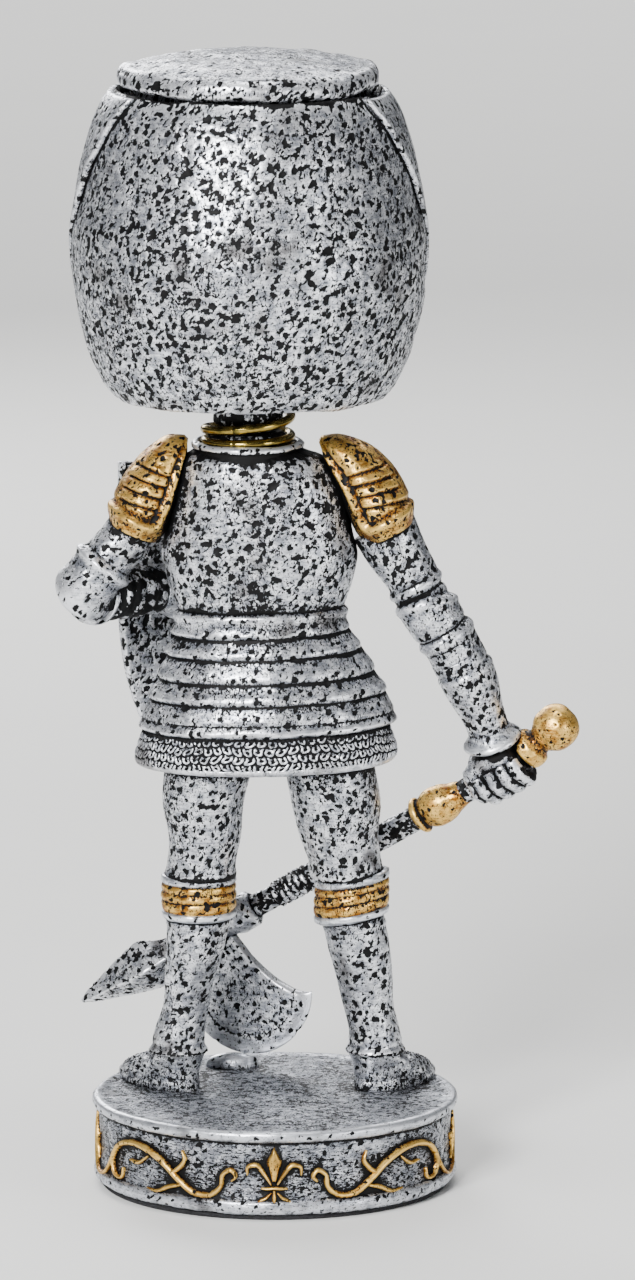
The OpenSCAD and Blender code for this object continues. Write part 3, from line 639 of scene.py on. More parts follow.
# the right foot stands a little further out than the left
FOOT_X, FOOT_Y = {"left": 15.6, "right": -15.6 - 0.6}, -3.6


def level_ovals(rows):
    """Loft stations for level ovals: rows are z, x, y, half width, half depth."""
    return [[x, y, z, 0, 0, 1, w, d] for z, x, y, w, d in rows]


for hand, sign in HANDS:
    ankle_z = box(f"greave_{hand}")[0][2]
    foot_x = FOOT_X[hand]
    knee_low, knee_high, knee = box(f"poleyn_{hand}")
    shin = knee_low[2] - ankle_z
    knee_r = half_width(f"poleyn_{hand}")
    # the right knee plate slants: its outer side is higher
    tilt = 0.0 if sign > 0 else 0.16

    def shin_relief(a, s, shin=shin):
        """A flared lower edge with a groove above it, and a flared upper edge."""
        ends = 0.28 * ridge(s, 0.3, 0.5) + 0.05 * ridge(s, 4.6, 0.7)
        return ends - 0.2 * ridge(s, 1.3, 0.35) + 0.22 * ridge(s, shin - 0.4, 0.5)

    # the right leg is cast a little stouter than the left
    stout = 0.0 if sign > 0 else 0.5
    greave = level_ovals([
        [ankle_z, foot_x, FOOT_Y, 4.6, 4.7], [ankle_z + 2.6, foot_x - 0.1 * sign, FOOT_Y, 4.2, 4.3],
        [28.5, knee[0] + 2.1 * sign - stout, -3.3, 3.65 + stout, 3.9],
        [33, knee[0] + 1.5 * sign - stout, -2.6, 4.05 + stout, 4.5],
        [38, knee[0] + 0.6 * sign - stout, -2, 4.75 + stout / 2, 5.05],
        [knee_low[2] + 0.3, knee[0], -1.8, 5.1, 5.2],
    ])
    leg = loft(greave, 0.33, shin_relief)
    x, _, z = leg[0].T
    ankle_line = drawn_line(z - 20.6, 0.16, leg[0], 61)
    # painted shade: a black band along the greave's top, under the knee plate
    shade_under_knee = knee_low[2] - tilt * (x - knee[0]) - 0.25 + 0.2 * soft_noise(leg[0], 1.4, 62) - z
    piece(f"greave_plate_{hand}", leg, silver, [f"greave_{hand}"], pits=1.0,
          inked=np.minimum(ankle_line, shade_under_knee))

    knee_h = knee_high[2] - knee_low[2]

    def knee_rings(rows, x=knee[0], y=knee[1], low=knee_low[2], slope=tilt):
        """Turned rings round the knee, sheared so that one side stands higher."""
        solid = lathe(cornered(rows, 0.3), np.array([x, y, low]), step=0.33)
        solid[0][:, 2] -= slope * (solid[0][:, 0] - x)
        return solid

    core = knee_rings([[0.05, 1.15], [knee_r - 0.4, 1.15], [knee_r - 0.12, 1.7], [knee_r, knee_h / 2],
                       [knee_r - 0.12, knee_h - 1.7],
                       [knee_r - 0.45, knee_h - 1.15], [0.05, knee_h - 1.15]])
    x, y, z = (core[0] - [knee[0], knee[1], knee_low[2]]).T
    z = z + tilt * x
    lines = [
        drawn_line(z - knee_h * share, 0.11, core[0], seed)
        for share, seed in ((0.42, 70), (0.63, 72))
    ]
    cut = np.min(lines, axis=0)
    beside = np.stack([x, y, 0 * z], -1) / np.maximum(np.hypot(x, y), 1)[:, None]
    core[0][:] -= 0.22 * beside * (1 - step_up(cut, -0.05, 0.35))[:, None]
    piece(f"knee_gilding_{hand}", core, gold, [f"poleyn_{hand}"], pits=0.8,
          uneven=0.25, inked=cut)
    lower = knee_rings([[0.05, 0], [knee_r - 0.6, -0.1], [knee_r - 0.15, 0.25], [knee_r - 0.05, 0.9],
                        [knee_r - 0.4, 1.3], [0.05, 1.3]])
    upper = knee_rings([[0.05, knee_h - 1.3], [knee_r - 0.35, knee_h - 1.3], [knee_r - 0.05, knee_h - 0.9],
                           [knee_r - 0.15, knee_h - 0.1], [knee_r - 0.6, knee_h + 0.15],
                        [0.05, knee_h + 0.15]])
    piece(f"knee_rims_{hand}", joined(lower, upper), smooth_silver, (), pits=0.55, uneven=0.16)

    thigh_low, thigh_high, _ = box(f"cuisse_{hand}")
    hip_x = sign * 9.3 + 0.9
    cuisse = level_ovals([
        [thigh_low[2] - 0.4, knee[0] - 0.2 * sign + stout, -1.2, 5.65 + stout / 2, 5.9],
        [52, knee[0] - 0.4 * sign + 1.4 * stout, -1.1, 5.5 + 0.7 * stout, 6.0],
        [56, knee[0] - 0.9 * sign + 2.4 * stout, -0.8, 5.75 + stout, 6.4],
        [62, (knee[0] + hip_x) / 2 + 0.3 * sign + 1.8 * stout, -0.3, 6.5 + 1.3 * stout, 7.2],
        [thigh_high[2] + 1.5, hip_x, 0, 7.3, 8.0],
    ])
    leg = loft(cuisse, 0.33, lambda a, s: 0.18 * ridge(s, 0.6, 0.6))
    x, _, z = leg[0].T
    # painted shade: a black band along the thigh plate's foot, where it meets the knee plate
    shade_over_knee = z - knee_high[2] + tilt * (x - knee[0]) - 0.3 + 0.25 * soft_noise(leg[0], 1.4, 63)
    piece(f"thigh_plate_{hand}", leg, silver, [f"cuisse_{hand}"], pits=1.0, inked=shade_over_knee)

# %% [markdown]
# ## Feet
# An armoured shoe: a flat sole with a ledge, a pointed oval outline, and lames
# across the instep that lap like roof tiles. The ovals are stacked upwards
# and drawn back towards the ankle; each lame is a small saw-tooth in height
# that depends on how far towards the toe a point lies.

# %% Armoured shoes
LAP = 1.6


def shoe(ankle_x, ankle_y, heading, z0):
    """Stacked outlines. A row is height, shift towards the toe, half length
    and half width; the outline is an oval with a pointed toe. Lames: a step
    up and a slow fall every LAP mm along the shoe, above the sole."""
    rows = curve_through(
        [[0.0, 5.1, 9.2, 4.6], [0.7, 5.1, 9.3, 4.7], [1.3, 5.0, 9.2, 4.65], [1.7, 4.8, 8.9, 4.45],
         [2.4, 4.4, 8.5, 4.45],
         [3.4, 3.5, 7.6, 4.45], [4.5, 2.0, 6.3, 4.4], [5.4, 0.5, 4.9, 4.35], [6.0, -0.1, 4.4, 4.3]],
        0.3,
    )
    a = np.linspace(0, 2 * np.pi, 104, endpoint=False)[None, :]
    ahead = rows[:, 1, None] + rows[:, 2, None] * np.cos(a) * (1 + 0.05 * np.cos(a))
    aside = rows[:, 3, None] * np.sin(a) * (1 - 0.22 * step_up(np.cos(a), 0.2, 1.0))
    above = step_up(rows[:, 0, None], 1.7, 2.6)
    lame = np.mod(ahead - 4.0, LAP) / LAP
    swell = 1 + above * step_up(ahead, 3.0, 4.2) * 0.06 * (0.6 - lame)
    level = rows[:, 0, None] + above * step_up(ahead, 3.0, 4.2) * 0.3 * (0.5 - lame)
    way = np.array([np.sin(heading), -np.cos(heading)])
    x = ankle_x + way[0] * ahead - way[1] * aside * swell
    y = ankle_y + way[1] * ahead + way[0] * aside * swell
    return solid_of_rings(with_caps(np.stack([x, y, z0 + level], -1), 0.8))


for hand, sign in HANDS:
    heading = sign * np.radians(38)
    plates = shoe(FOOT_X[hand], FOOT_Y, heading, base_h - 0.3)
    x, y, z = plates[0].T
    ahead = (x - FOOT_X[hand]) * np.sin(heading) - (y - FOOT_Y) * np.cos(heading)
    from_lap = np.mod(ahead - 4.0 + LAP / 2, LAP) - LAP / 2
    cut = np.where((ahead > 4) & (z > base_h + 1.6), drawn_line(from_lap, 0.13, plates[0], 68), 1.0)
    piece(f"shoe_{hand}", plates, silver, [f"sabaton_{hand}"], pits=0.8, inked=cut, wash_and_shade=0.0)

rest = box("axe_rest")[2]
heap = level_ovals([[base_h - 0.3, rest[0], rest[1], 4.3, 2.0], [base_h + 0.8, rest[0], rest[1], 4.0, 1.8],
                    [base_h + 1.6, rest[0] - 0.3, rest[1], 3.2, 1.3],
                    [base_h + 2.0, rest[0] - 0.4, rest[1], 1.6, 0.7]])
piece("axe_rest_lump", loft(heap, 0.35), smooth_silver, ["axe_rest"], pits=0.4, uneven=0.3, wash_and_shade=0.0)

# %% [markdown]
# ## Body
# The belt, the four lames of the skirt guard and the mail below them are
# oval bands, wider than deep, that lap over each other. The whole waist
# leans a little to one side, so their points are sheared together. Rings of
# mail are too many to be separate objects: here they are a relief, a loop
# in every cell of a pattern.

# %% Bands round the hips
LEAN = -0.028
belt_low, belt_high, belt = box("waist_belt")


def leaning(points):
    """Shears the hips: lower towards the figure's left, none above the belt
    or below the skirt."""
    x, y, z = points.T
    amount = step_up(z, 66, 70) * (1 - step_up(z, belt_high[2], belt_high[2] + 4))
    return np.stack([x, y, z + LEAN * (x - belt[0]) * amount], -1)


def body_band(rows, ratio, **more):
    """A level oval loft: rows are z, middle x, half width; depth is a share of it."""
    return loft(level_ovals([[z, x, 0, w, w * ratio] for z, x, w in rows]), 0.34, **more)


ratio = 0.62
for number in range(1, 5):
    low, high, middle = box(f"fauld_lame_{number}")
    wide = half_width(f"fauld_lame_{number}")
    above = half_width(f"fauld_lame_{number - 1}") if number > 1 else 14.0
    top = wide - 0.62 * (wide - above) - 0.45

    def lame_relief(a, s, number=number):
        """A rolled lower edge whose line wavers, and a shallow dip above it."""
        waver = 0.16 * np.sin(5 * a + number) + 0.1 * np.sin(11 * a + 2 * number)
        deep = 0.34 if number == 4 else 0.06
        dip = 0.2 if number == 4 else 0.04
        return deep * ridge(s, 0.75 + waver, 0.55) - dip * ridge(s, 1.9 + waver, 0.4)

    rows = [[low[2] - 0.1, middle[0], wide - 0.75], [low[2] + 0.25, middle[0], wide - 0.15],
            [low[2] + 1.0, middle[0], wide],
            [high[2] - 0.5, middle[0], top + 0.1], [high[2] + 0.5, middle[0], top - 0.5]]
    band = body_band(rows, ratio, relief=lame_relief)
    shaded = high[2] - 0.18 + 0.22 * soft_noise(band[0], 1.8, 80 + number) - band[0][:, 2]
    if number == 4:
        shaded = np.minimum(shaded, drawn_line(band[0][:, 2] - low[2] - 1.85, 0.16, band[0], 84))
    piece(f"skirt_lame_{number}", band, silver, [f"fauld_lame_{number}"], pits=0.8, uneven=0.16,
          inked=shaded, lean=leaning)

wide = half_width("waist_belt")
rows = [[belt_low[2] - 0.1, belt[0], wide - 0.6], [belt_low[2] + 0.35, belt[0], wide],
        [belt[2], belt[0], wide - 0.2],
        [belt_high[2] - 0.4, belt[0], wide - 0.1], [belt_high[2] + 0.1, belt[0], wide - 0.8]]


def belt_relief(a, s):
    """A thin rolled edge along the bottom and along the top."""
    return 0.12 * ridge(s, 0.7, 0.35) + 0.12 * ridge(s, 3.9, 0.35)


belt_band = body_band(rows, ratio, relief=belt_relief)
piece("belt", belt_band, silver, ["waist_belt"], pits=0.85, uneven=0.14, lean=leaning)

# %% Mail
mail_low, mail_high, mail = box("mail_skirt")
RINGS_ROUND, RING_HIGH = 72, 1.35


def mail_relief(a, z):
    """Height of the mail from 0 to 1, round the skirt and up it. Every cell of
    the pattern holds a loop, open at the top, where the loop above it hangs
    into it; small chance shifts keep the rows from looking ruled."""
    up = (z - mail_low[2] - 0.7) / RING_HIGH + 0.12 * np.sin(9 * a) + 0.08 * np.sin(23 * a + 1)
    across = a / (2 * np.pi) * RINGS_ROUND + 0.18 * np.sin(2.3 * z + 7 * a)
    dx, dy = np.mod(across, 1) - 0.5, np.mod(up, 1) - 0.5
    loop = ridge(np.hypot(dx, 0.95 * (dy - 0.06)), 0.31, 0.13) * np.where(dy < 0.3, 1, 0.5)
    leg = ridge(np.abs(dx), 0.31, 0.12) * step_up(dy, 0.05, 0.3)
    rings = np.maximum(loop, 0.85 * leg)
    lip = 1 - step_up(z, mail_low[2] + 0.95, mail_low[2] + 1.15)
    return np.maximum(rings, lip)


def mail_skirt_solid():
    """A level oval band on a fine grid, moved outwards by the mail's relief,
    with a notch at the middle of its lower edge."""
    wide = half_width("mail_skirt")
    rows = curve_through([[mail_low[2], wide - 2.2], [mail_low[2] + 0.25, wide - 0.9],
                          [mail_low[2] + 0.8, wide - 0.25],
                          [mail_low[2] + 2, wide], [mail_low[2] + 3.5, wide - 0.4],
                          [mail_high[2] + 0.4, wide - 1.5]], 0.15)
    a = np.linspace(0, 2 * np.pi, RINGS_ROUND * 13, endpoint=False)[None, :]
    z, w = rows[:, 0, None], rows[:, 1, None]
    notch = 0.7 * ridge(a - np.pi / 2, 0, 0.02) * ridge(z, mail_low[2], 1.0)
    height = 0.34 * mail_relief(a, z) - 0.2 - notch
    rings = np.stack([mail[0] + (w + height) * np.cos(a), (ratio * w + height) * np.sin(a), z + 0 * a], -1)
    return solid_of_rings(with_caps(rings, 1.6))


skirt = mail_skirt_solid()
x, y, z = skirt[0].T
gaps = 0.8 * (mail_relief(np.mod(np.arctan2(y / ratio, x - mail[0]), 2 * np.pi), z) - 0.5)
# painted shade: the top of the mail, under the lowest skirt lame, is left black; the gaps between rings are
# real
gaps = np.minimum(gaps, mail_high[2] - 0.5 + 0.3 * soft_noise(skirt[0], 1.5, 90) - z)
piece("mail_skirt_rings", skirt, silver, ["mail_skirt"], pits=0, uneven=0.1, inked=gaps, lean=leaning)

# %% [markdown]
# ## Cuirass
# The breastplate and the backplate are two shells that meet at the sides.
# Each is half an oval loft with a flat inner face. The backplate is drawn in
# at the waist, and rolls over the shoulders to a narrow neck with a collar.

# %% Breastplate and backplate
torso_top = box("back_plate")[1][2]
neck_x = box("neck_collar")[2][0]
CUIRASS = [
    [belt_high[2] - 0.3, 2.3, 13.2, 8.1], [96, 2.3, 14.1, 8.6], [99, 2.3, 15.0, 9.1],
    [102, 2.4, 15.6, 9.4], [106, 2.5, 14.9, 9.5],
    [110, 2.5, 14.3, 9.4], [113, 2.5, 13.8, 9.2], [116, 2.8, 12.7, 8.9], [118, 3.3, 11.4, 8.5],
    [torso_top - 0.5, 3.8, 9.8, 8.0], [torso_top + 0.3, 4.1, 8.2, 7.4],
]


def half_body(side):
    """Half ovals stacked: the arc runs from one side round the back (side 1)
    or the front (side -1) to the other, and a straight row closes it. A
    shallow dip runs down the middle of the back, a keel down the front."""
    line = curve_through([[z, x, w, d] for z, x, w, d in CUIRASS], 0.34)
    a = np.linspace(0, np.pi, 124)[None, :]
    z, x, w, d = (line[:, k, None] for k in range(4))
    keel = -0.35 if side > 0 else 0.7
    blades = 0.25 * ridge(z, 115, 2.5) * ridge(np.abs(a - np.pi / 2), 0.7, 0.35)
    deep = d + keel * ridge(a, np.pi / 2, 0.22) + blades
    arc = np.stack([x + w * np.cos(a), side * deep * np.sin(a), z + 0 * a], -1)
    share = np.linspace(0, 1, 40)[None, 1:-1]
    flat = np.stack([x - w + 2 * w * share, 0 * share + 0 * w, z + 0 * share], -1)
    return solid_of_rings(with_caps(np.concatenate([arc, flat], axis=1), 0.8))


for name, side, node in (("backplate", 1, "back_plate"), ("breastplate", -1, "breast_plate")):
    shell = half_body(side)
    soft = soft_noise(shell[0], 1.3, 95)
    # painted shade: a black band under the collar at the top, and a black line where the plates meet the
    # belt
    shade_at_ends = np.minimum(shell[0][:, 2] - belt_high[2] - 0.3, torso_top - 0.6 - shell[0][:, 2])
    piece(name, shell, silver, [node], pits=1.1, uneven=0.13, inked=shade_at_ends + 0.8 * soft)

collar_z = box("neck_collar")[0][2]
collar_r = half_width("neck_collar")
socket_r = collar_r - 1.05
ring = cornered(
    [[socket_r, -1.5], [collar_r - 0.5, -1.5], [collar_r - 0.5, 0.3], [collar_r + 0.25, 0.5],
     [collar_r + 0.3, 1.0],
     [collar_r - 0.1, 1.4], [socket_r + 0.3, 1.5], [socket_r, 1.2], [socket_r, -1.3]], 0.3,
)
ring = lathe(ring, np.array([neck_x, 0, collar_z]), step=0.33, loop=True)
# painted shade: the collar below its lip is left black
shade_under_lip = ring[0][:, 2] - collar_z - 0.55 + 0.15 * soft_noise(ring[0], 1.6, 64)
piece("collar", ring, smooth_silver, ["neck_collar"], pits=0.7, uneven=0.16, inked=shade_under_lip)

plug_low, plug_high, _ = box("neck_plug")
plug_r = half_width("neck_plug")
plug_h = plug_high[2] - plug_low[2]
core = cornered(
    [[0.05, 0], [plug_r, 0], [plug_r, plug_h - 0.3], [plug_r - 0.4, plug_h], [0.05, plug_h]], 0.5,
)
piece("spring_plug", lathe(core, np.array([neck_x, 0, plug_low[2]]), step=0.5), silver, ["neck_plug"],
      pits=1.6)

# %% [markdown]
# ## Shoulders
# The gilded shoulder plates are the richest shapes on the figure: a dome
# with a raised border along its inner and lower edges, and inside the border
# four lapped lames. The loft again gives the dome. The border and the lames
# are a relief, written with the distance to the edge of the panel: positive
# outside it, zero on the border's middle, negative inside.

# %% Shoulder plates
SHOULDER = {
    # centre, way down the plate, half width and half depth, from the top
    "left": [[14.2, 0, 121.3, 0.75, 0, -0.66, 0.5, 1.5], [15.1, 0, 120.5, 0.72, 0, -0.7, 1.8, 3.3],
             [17.0, 0, 118.1, 0.6, 0, -0.8, 3.4, 5.4],
             [19.2, 0, 114.2, 0.5, 0, -0.87, 4.7, 6.5], [21.1, 0, 110.4, 0.45, 0, -0.89, 5.1, 6.9],
             [22.2, 0, 107.6, 0.42, 0, -0.91, 4.9, 6.7], [22.7, 0, 106.1, 0.42, 0, -0.91, 4.0, 5.7]],
    "right": [[-7.4, 0, 121.2, -0.85, 0, -0.5, 0.5, 1.5], [-8.5, 0, 120.4, -0.82, 0, -0.57, 1.8, 3.4],
              [-11.0, 0, 118.5, -0.72, 0, -0.7, 3.6, 5.5],
              [-14.2, 0, 115.0, -0.6, 0, -0.8, 4.9, 6.6], [-16.4, 0, 111.2, -0.5, 0, -0.86, 5.3, 6.9],
              [-17.9, 0, 107.8, -0.45, 0, -0.89, 5.0, 6.7], [-18.6, 0, 106.1, -0.44, 0, -0.9, 4.1, 5.7]],
}
LAMES_AT = {"left": [6.9, 8.9, 10.9, 12.9], "right": [8.6, 10.6, 12.6, 14.6]}
EDGE_AT = {"left": 15.3, "right": 17.0}
INWARD = {"left": np.pi, "right": 0.0}


def shoulder_relief(hand):
    """Panel distance: the larger of how far round a point lies beyond the
    border's line and how far down it lies beyond the border's foot, with the
    corner between them rounded. A ridge at zero is the border; inside it each
    lame line is a groove with a step above it."""
    slant = 0.2 if hand == "left" else 0.38

    def relief(a, s):
        radius = 5.4
        round_ = np.abs(np.angle(np.exp(1j * (a - INWARD[hand]))))
        beside = (0.82 - round_) * radius + 0 * s
        beneath = s - EDGE_AT[hand] + 0 * a
        corner = np.hypot(np.maximum(beside + 1.6, 0), np.maximum(beneath + 1.6, 0)) - 1.6
        panel = np.where((beside > -1.6) & (beneath > -1.6), corner, np.maximum(beside, beneath))
        border = 0.5 * ridge(panel, 0, 0.62) * (0.25 + 0.75 * step_up(round_, 2.7, 1.9))
        border = border - 0.5 * ridge(panel, -1.2, 0.45)
        inside = step_up(-panel, 1.0, 1.7)
        outward = -np.cos(a - INWARD[hand]) * 4.5
        lines = s - slant * (outward - 2.0) * step_up(s, 3, 8)
        near = step_up(round_, 2.9, 2.4)
        grooves = sum(
            -0.6 * ridge(lines, at, 0.26) + 0.22 * ridge(lines, at - 0.6, 0.42)
            for at in LAMES_AT[hand]
        )
        return border + inside * near * grooves - 0.2 * inside

    return relief


for hand in ("left", "right"):
    piece(f"shoulder_plate_{hand}", loft(SHOULDER[hand], 0.24, shoulder_relief(hand), cap=0.5), gold,
          [f"pauldron_{hand}"],
          pits=0.85, uneven=0.14)

# %% [markdown]
# ## Arms and hands
# The right arm hangs away from the body, with two rolled rings and a ridged
# cup at the elbow, and ends in a flared cuff. The left arm bends forward
# behind the shield. Both are lofts along the arm's line; the rings are a
# relief at given distances along it. A hand is a palm block with four
# fingers curled round what it holds, and a thumb.

# %% Arms
RIGHT_ARM = np.array([
    [-18.6, 0.1, 106.6, -0.42, 0.02, -0.9], [-20.2, 0.2, 102.4, -0.42, 0.03, -0.9],
    [-22.2, 0.4, 98.2, -0.45, 0.03, -0.88],
    [-23.1, 0.4, 96.0, -0.5, 0.02, -0.87], [-25.4, 0.3, 92.2, -0.53, -0.04, -0.85],
    [-27.9, 0, 88.2, -0.5, -0.1, -0.86],
    [-29.0, -0.3, 86.0, -0.46, -0.16, -0.88], [-31.0, -1.2, 82, -0.4, -0.17, -0.9],
    [-33.4, -2.6, 75.8, -0.36, -0.2, -0.91],
    [-34.8, -3.4, 71.8, -0.3, -0.25, -0.92],
])


def arm(first, last, radii, relief=None, cap=0.8):
    """Loft along the right arm between two of its points, with round sections."""
    rows = [[*point, r, r] for point, r in zip(RIGHT_ARM[first:last + 1], radii)]
    return loft(rows, 0.3, relief, cap=cap)


# its top is wider towards the body, where the casting is webbed to the side
rows = [[-17.5, 0.1, 106.8, -0.42, 0.02, -0.9, 5.2, 4.5], [-19.6, 0.2, 102.4, -0.42, 0.03, -0.9, 4.8, 4.3],
        [*RIGHT_ARM[2], 4.3, 4.25], [*RIGHT_ARM[3], 4.15, 4.15]]
piece("upper_arm_right", loft(rows, 0.3, cap=0.8), silver, ["rerebrace_right"], pits=1.05)


def elbow_relief(a, s):
    """Two rolled rings, one at each end, and a cup between them whose ridge
    runs slanting round the elbow."""
    rings = 0.42 * ridge(s, 1.0, 0.75) + 0.42 * ridge(s, 10.6, 0.75) - 0.4 * ridge(s, 2.35, 0.35)
    slant = s - 4.6 - 1.5 * np.cos(a - 2.6)
    return rings + 0.45 * ridge(slant, 0, 0.8) - 0.35 * ridge(slant, -1.5, 0.4) - 0.4 * ridge(s, 9.2, 0.35)


guard = arm(2, 6, [4.3, 4.4, 4.65, 4.4, 4.4], elbow_relief)
way = RIGHT_ARM[6, :3] - RIGHT_ARM[2, :3]
down = (guard[0] - RIGHT_ARM[2, :3]) @ way / np.linalg.norm(way)
lines = [drawn_line(down - at, 0.13, guard[0], 52 + k) for k, at in enumerate((0.0, 2.2, 9.3, 11.9))]
piece("elbow_guard_right", guard, silver, ["couter_right"], pits=0.85, uneven=0.14,
      inked=np.min(lines, axis=0))


def forearm_relief(a, s):
    """A ring under the elbow, with a groove above it."""
    return 0.2 * ridge(s, 3.2, 0.4) - 0.2 * ridge(s, 2.3, 0.4)


forearm = arm(6, 9, [4.45, 4.6, 3.5, 3.3], forearm_relief)
piece("forearm_right", forearm, silver, ["vambrace_right"], pits=1.05)
cuff = [[*(0.45 * RIGHT_ARM[8] + 0.55 * RIGHT_ARM[9]), 3.3, 3.3],
        [*(0.2 * RIGHT_ARM[8] + 0.8 * RIGHT_ARM[9]), 3.9, 3.9],
        [*RIGHT_ARM[9], 4.75, 4.75], [*(RIGHT_ARM[9] + [-0.12, -0.1, -0.4, 0, 0, 0]), 4.85, 4.85],
        [*(RIGHT_ARM[9] + [-0.25, -0.2, -0.85, 0, 0, 0]), 4.4, 4.4]]
piece("cuff_roll_right", loft(cuff, 0.3, cap=0.6), smooth_silver, ["cuff_right"], pits=0.75, uneven=0.16)

LEFT_UPPER = [[21.6, 0, 108.4, 0.45, 0.02, -0.9, 3.9, 3.9], [24.2, 0.1, 104.6, 0.58, 0.03, -0.8, 4.0, 4.0],
              [26.9, 0.2, 101.2, 0.62, 0.03, -0.78, 4.15, 4.15],
              [28.4, 0.2, 99.4, 0.62, 0, -0.78, 4.1, 4.1]]
piece("upper_arm_left", loft(LEFT_UPPER, 0.32), silver, ["rerebrace_left"], pits=1.05)
bend_from, bend_to = np.array([27.6, -3.6, 95.6]), np.array([15.6, -12.6, 94.4])
reach = bend_to - bend_from
LEFT_ELBOW = [[26.6, 0.2, 101.6, 0.62, 0.03, -0.78, 4.2, 4.2],
              [27.3, 0.2, 100.8, 0.62, 0.02, -0.78, 4.85, 4.85],
              [28.1, 0.2, 99.7, 0.64, 0, -0.77, 4.75, 4.75],
              [29.0, 0.1, 98.4, 0.62, -0.12, -0.74, 4.55, 4.6],
              [30.2, -0.7, 96.3, 0.35, -0.7, -0.6, 5.1, 5.1],
              [29.0, -2.6, 95.4, -0.3, -0.93, -0.2, 5.0, 5.0],
              [27.4, -3.9, 95.4, *reach, 4.6, 4.6]]


def left_elbow_relief(a, s):
    """A rolled upper edge, with a groove under it."""
    return 0.3 * ridge(s, 1.2, 0.45) - 0.25 * ridge(s, 2.7, 0.5)


guard = loft(LEFT_ELBOW, 0.32, left_elbow_relief)
piece("elbow_guard_left", guard, silver, ["couter_left"], pits=0.8)


def sleeve_folds(a, s):
    """Shallow folds that wind round the sleeve."""
    return 0.16 * np.sin(2.4 * s + 1.8 * np.sin(a) + 0.8 * np.sin(3 * a + s)) - 0.1


def along_forearm(*places):
    """Loft stations on the left forearm's line: share of its length, radius."""
    return [[*(bend_from + k * reach), *reach, r, r] for k, r in places]


sleeve = loft(along_forearm((-0.12, 4.5), (0.1, 4.6), (0.4, 4.3), (0.78, 3.5)), 0.32, sleeve_folds)
# painted shade: the shield's shadow on the forearm, drawn as patchy black with little silver
shield_shade = 0.45 * soft_noise(sleeve[0], 1.1, 65) + 0.25 * soft_noise(sleeve[0], 0.5, 66) - 0.12
piece("forearm_left", sleeve, silver, ["vambrace_left"], pits=0.7, inked=shield_shade)
cuff = loft(along_forearm((0.72, 3.4), (0.85, 4.1), (0.97, 4.7), (1.02, 4.4)), 0.32)
piece("cuff_roll_left", cuff, smooth_silver, ["cuff_left"], pits=0.3)

# %% Hands
def rounded_block(centre, axes, sizes, power=0.55, step=0.35):
    """A box with rounded sides: a ball whose sines and cosines are raised to
    a power below 1, which swells them towards the corners."""
    rows = max(12, int(np.pi * max(sizes) / step))
    b = np.linspace(-np.pi / 2, np.pi / 2, rows)[1:-1, None]
    a = np.linspace(0, 2 * np.pi, 2 * rows, endpoint=False)[None, :]

    def swell(x):
        return np.sign(x) * np.abs(x) ** power

    level = swell(np.cos(b))
    local = np.stack([level * swell(np.cos(a)), level * swell(np.sin(a)), swell(np.sin(b)) + 0 * a], -1)
    return solid_of_rings(centre + (local * sizes) @ np.asarray(axes))


def curl(centre, along, start, turn, sweep, radius, thick, step=0.3):
    """A finger: a tube on an arc of `radius` round a line, from the direction
    `start` through `sweep` radians towards `turn`. Knuckles swell it twice and
    its tip is rounded."""
    t = np.linspace(0, 1, max(12, int(sweep * radius / step)))
    angle = sweep * t
    out = np.outer(np.cos(angle), start) + np.outer(np.sin(angle), turn)
    way = np.outer(-np.sin(angle), start) + np.outer(np.cos(angle), turn)
    swell = 1 + 0.14 * ridge(t, 0.22, 0.09) + 0.12 * ridge(t, 0.62, 0.09) - 0.1 * ridge(t, 0.42, 0.08)
    r = thick * swell * np.sqrt(np.clip(1 - np.clip((t - 0.88) / 0.12, 0, 1) ** 2, 0.02, 1))
    a = np.linspace(0, 2 * np.pi, 20, endpoint=False)
    tube = (np.cos(a)[None, :, None] * along + np.sin(a)[None, :, None] * out[:, None]) * r[:, None, None]
    return solid_of_rings((centre + radius * out)[:, None] + tube)


FIST = np.array([-36.6, -5.1, 66.2])
shaft_way = np.array([0.817, -0.261, -0.512])
shaft_way /= np.linalg.norm(shaft_way)
shaft_r = 2.05
FINGERS_APART = 2.15


def fist(centre, line, wrist, thick, palm, thumb=True):
    """Palm, four fingers round `line`, and a thumb. `wrist` is where the hand
    comes from; the fingers start on the back of the hand and go under."""
    line = line / np.linalg.norm(line)
    over = wrist - centre
    over = over - over @ line * line
    over /= np.linalg.norm(over)
    behind = np.cross(over, line)
    axes = np.stack([line, behind, over])
    parts = [rounded_block(centre + 2.5 * over + 0.5 * behind, axes, palm)]
    for k, (long_, size) in enumerate(((2.35, 1.18), (2.5, 1.25), (2.45, 1.22), (2.2, 1.08))):
        at = centre + line * FINGERS_APART * (1.5 - k) + over * 0.3
        start = behind * 0.86 + over * 0.5
        turn = behind * 0.5 - over * 0.86
        parts.append(curl(at, line, start, turn, long_ + 0.5, shaft_r + 1.35, thick * size))
    if thumb:
        at = centre + line * 4.3 + over * 0.2
        start, turn = over * 0.9 + behind * 0.43, -over * 0.43 + behind * 0.9
        parts.append(curl(at, line, start, turn, 1.9, shaft_r + 1.1, thick * 1.15))
        ball = centre + line * 2.6 + over * 2.4 + behind * 1.9
        parts.append(rounded_block(ball, axes, [2.4, 1.9, 1.9], 0.7))
    return joined(*parts)


wrist = RIGHT_ARM[9, :3]
neck = [[*wrist, *(FIST - wrist), 3.4, 3.2], [*(0.5 * wrist + 0.5 * FIST), *(FIST - wrist), 3.6, 3.0],
        [*(0.25 * wrist + 0.75 * FIST), *(FIST - wrist), 3.4, 2.8]]
right_hand = joined(loft(neck, 0.3), fist(FIST, shaft_way, wrist, 1.0, [4.1, 3.2, 2.5]))
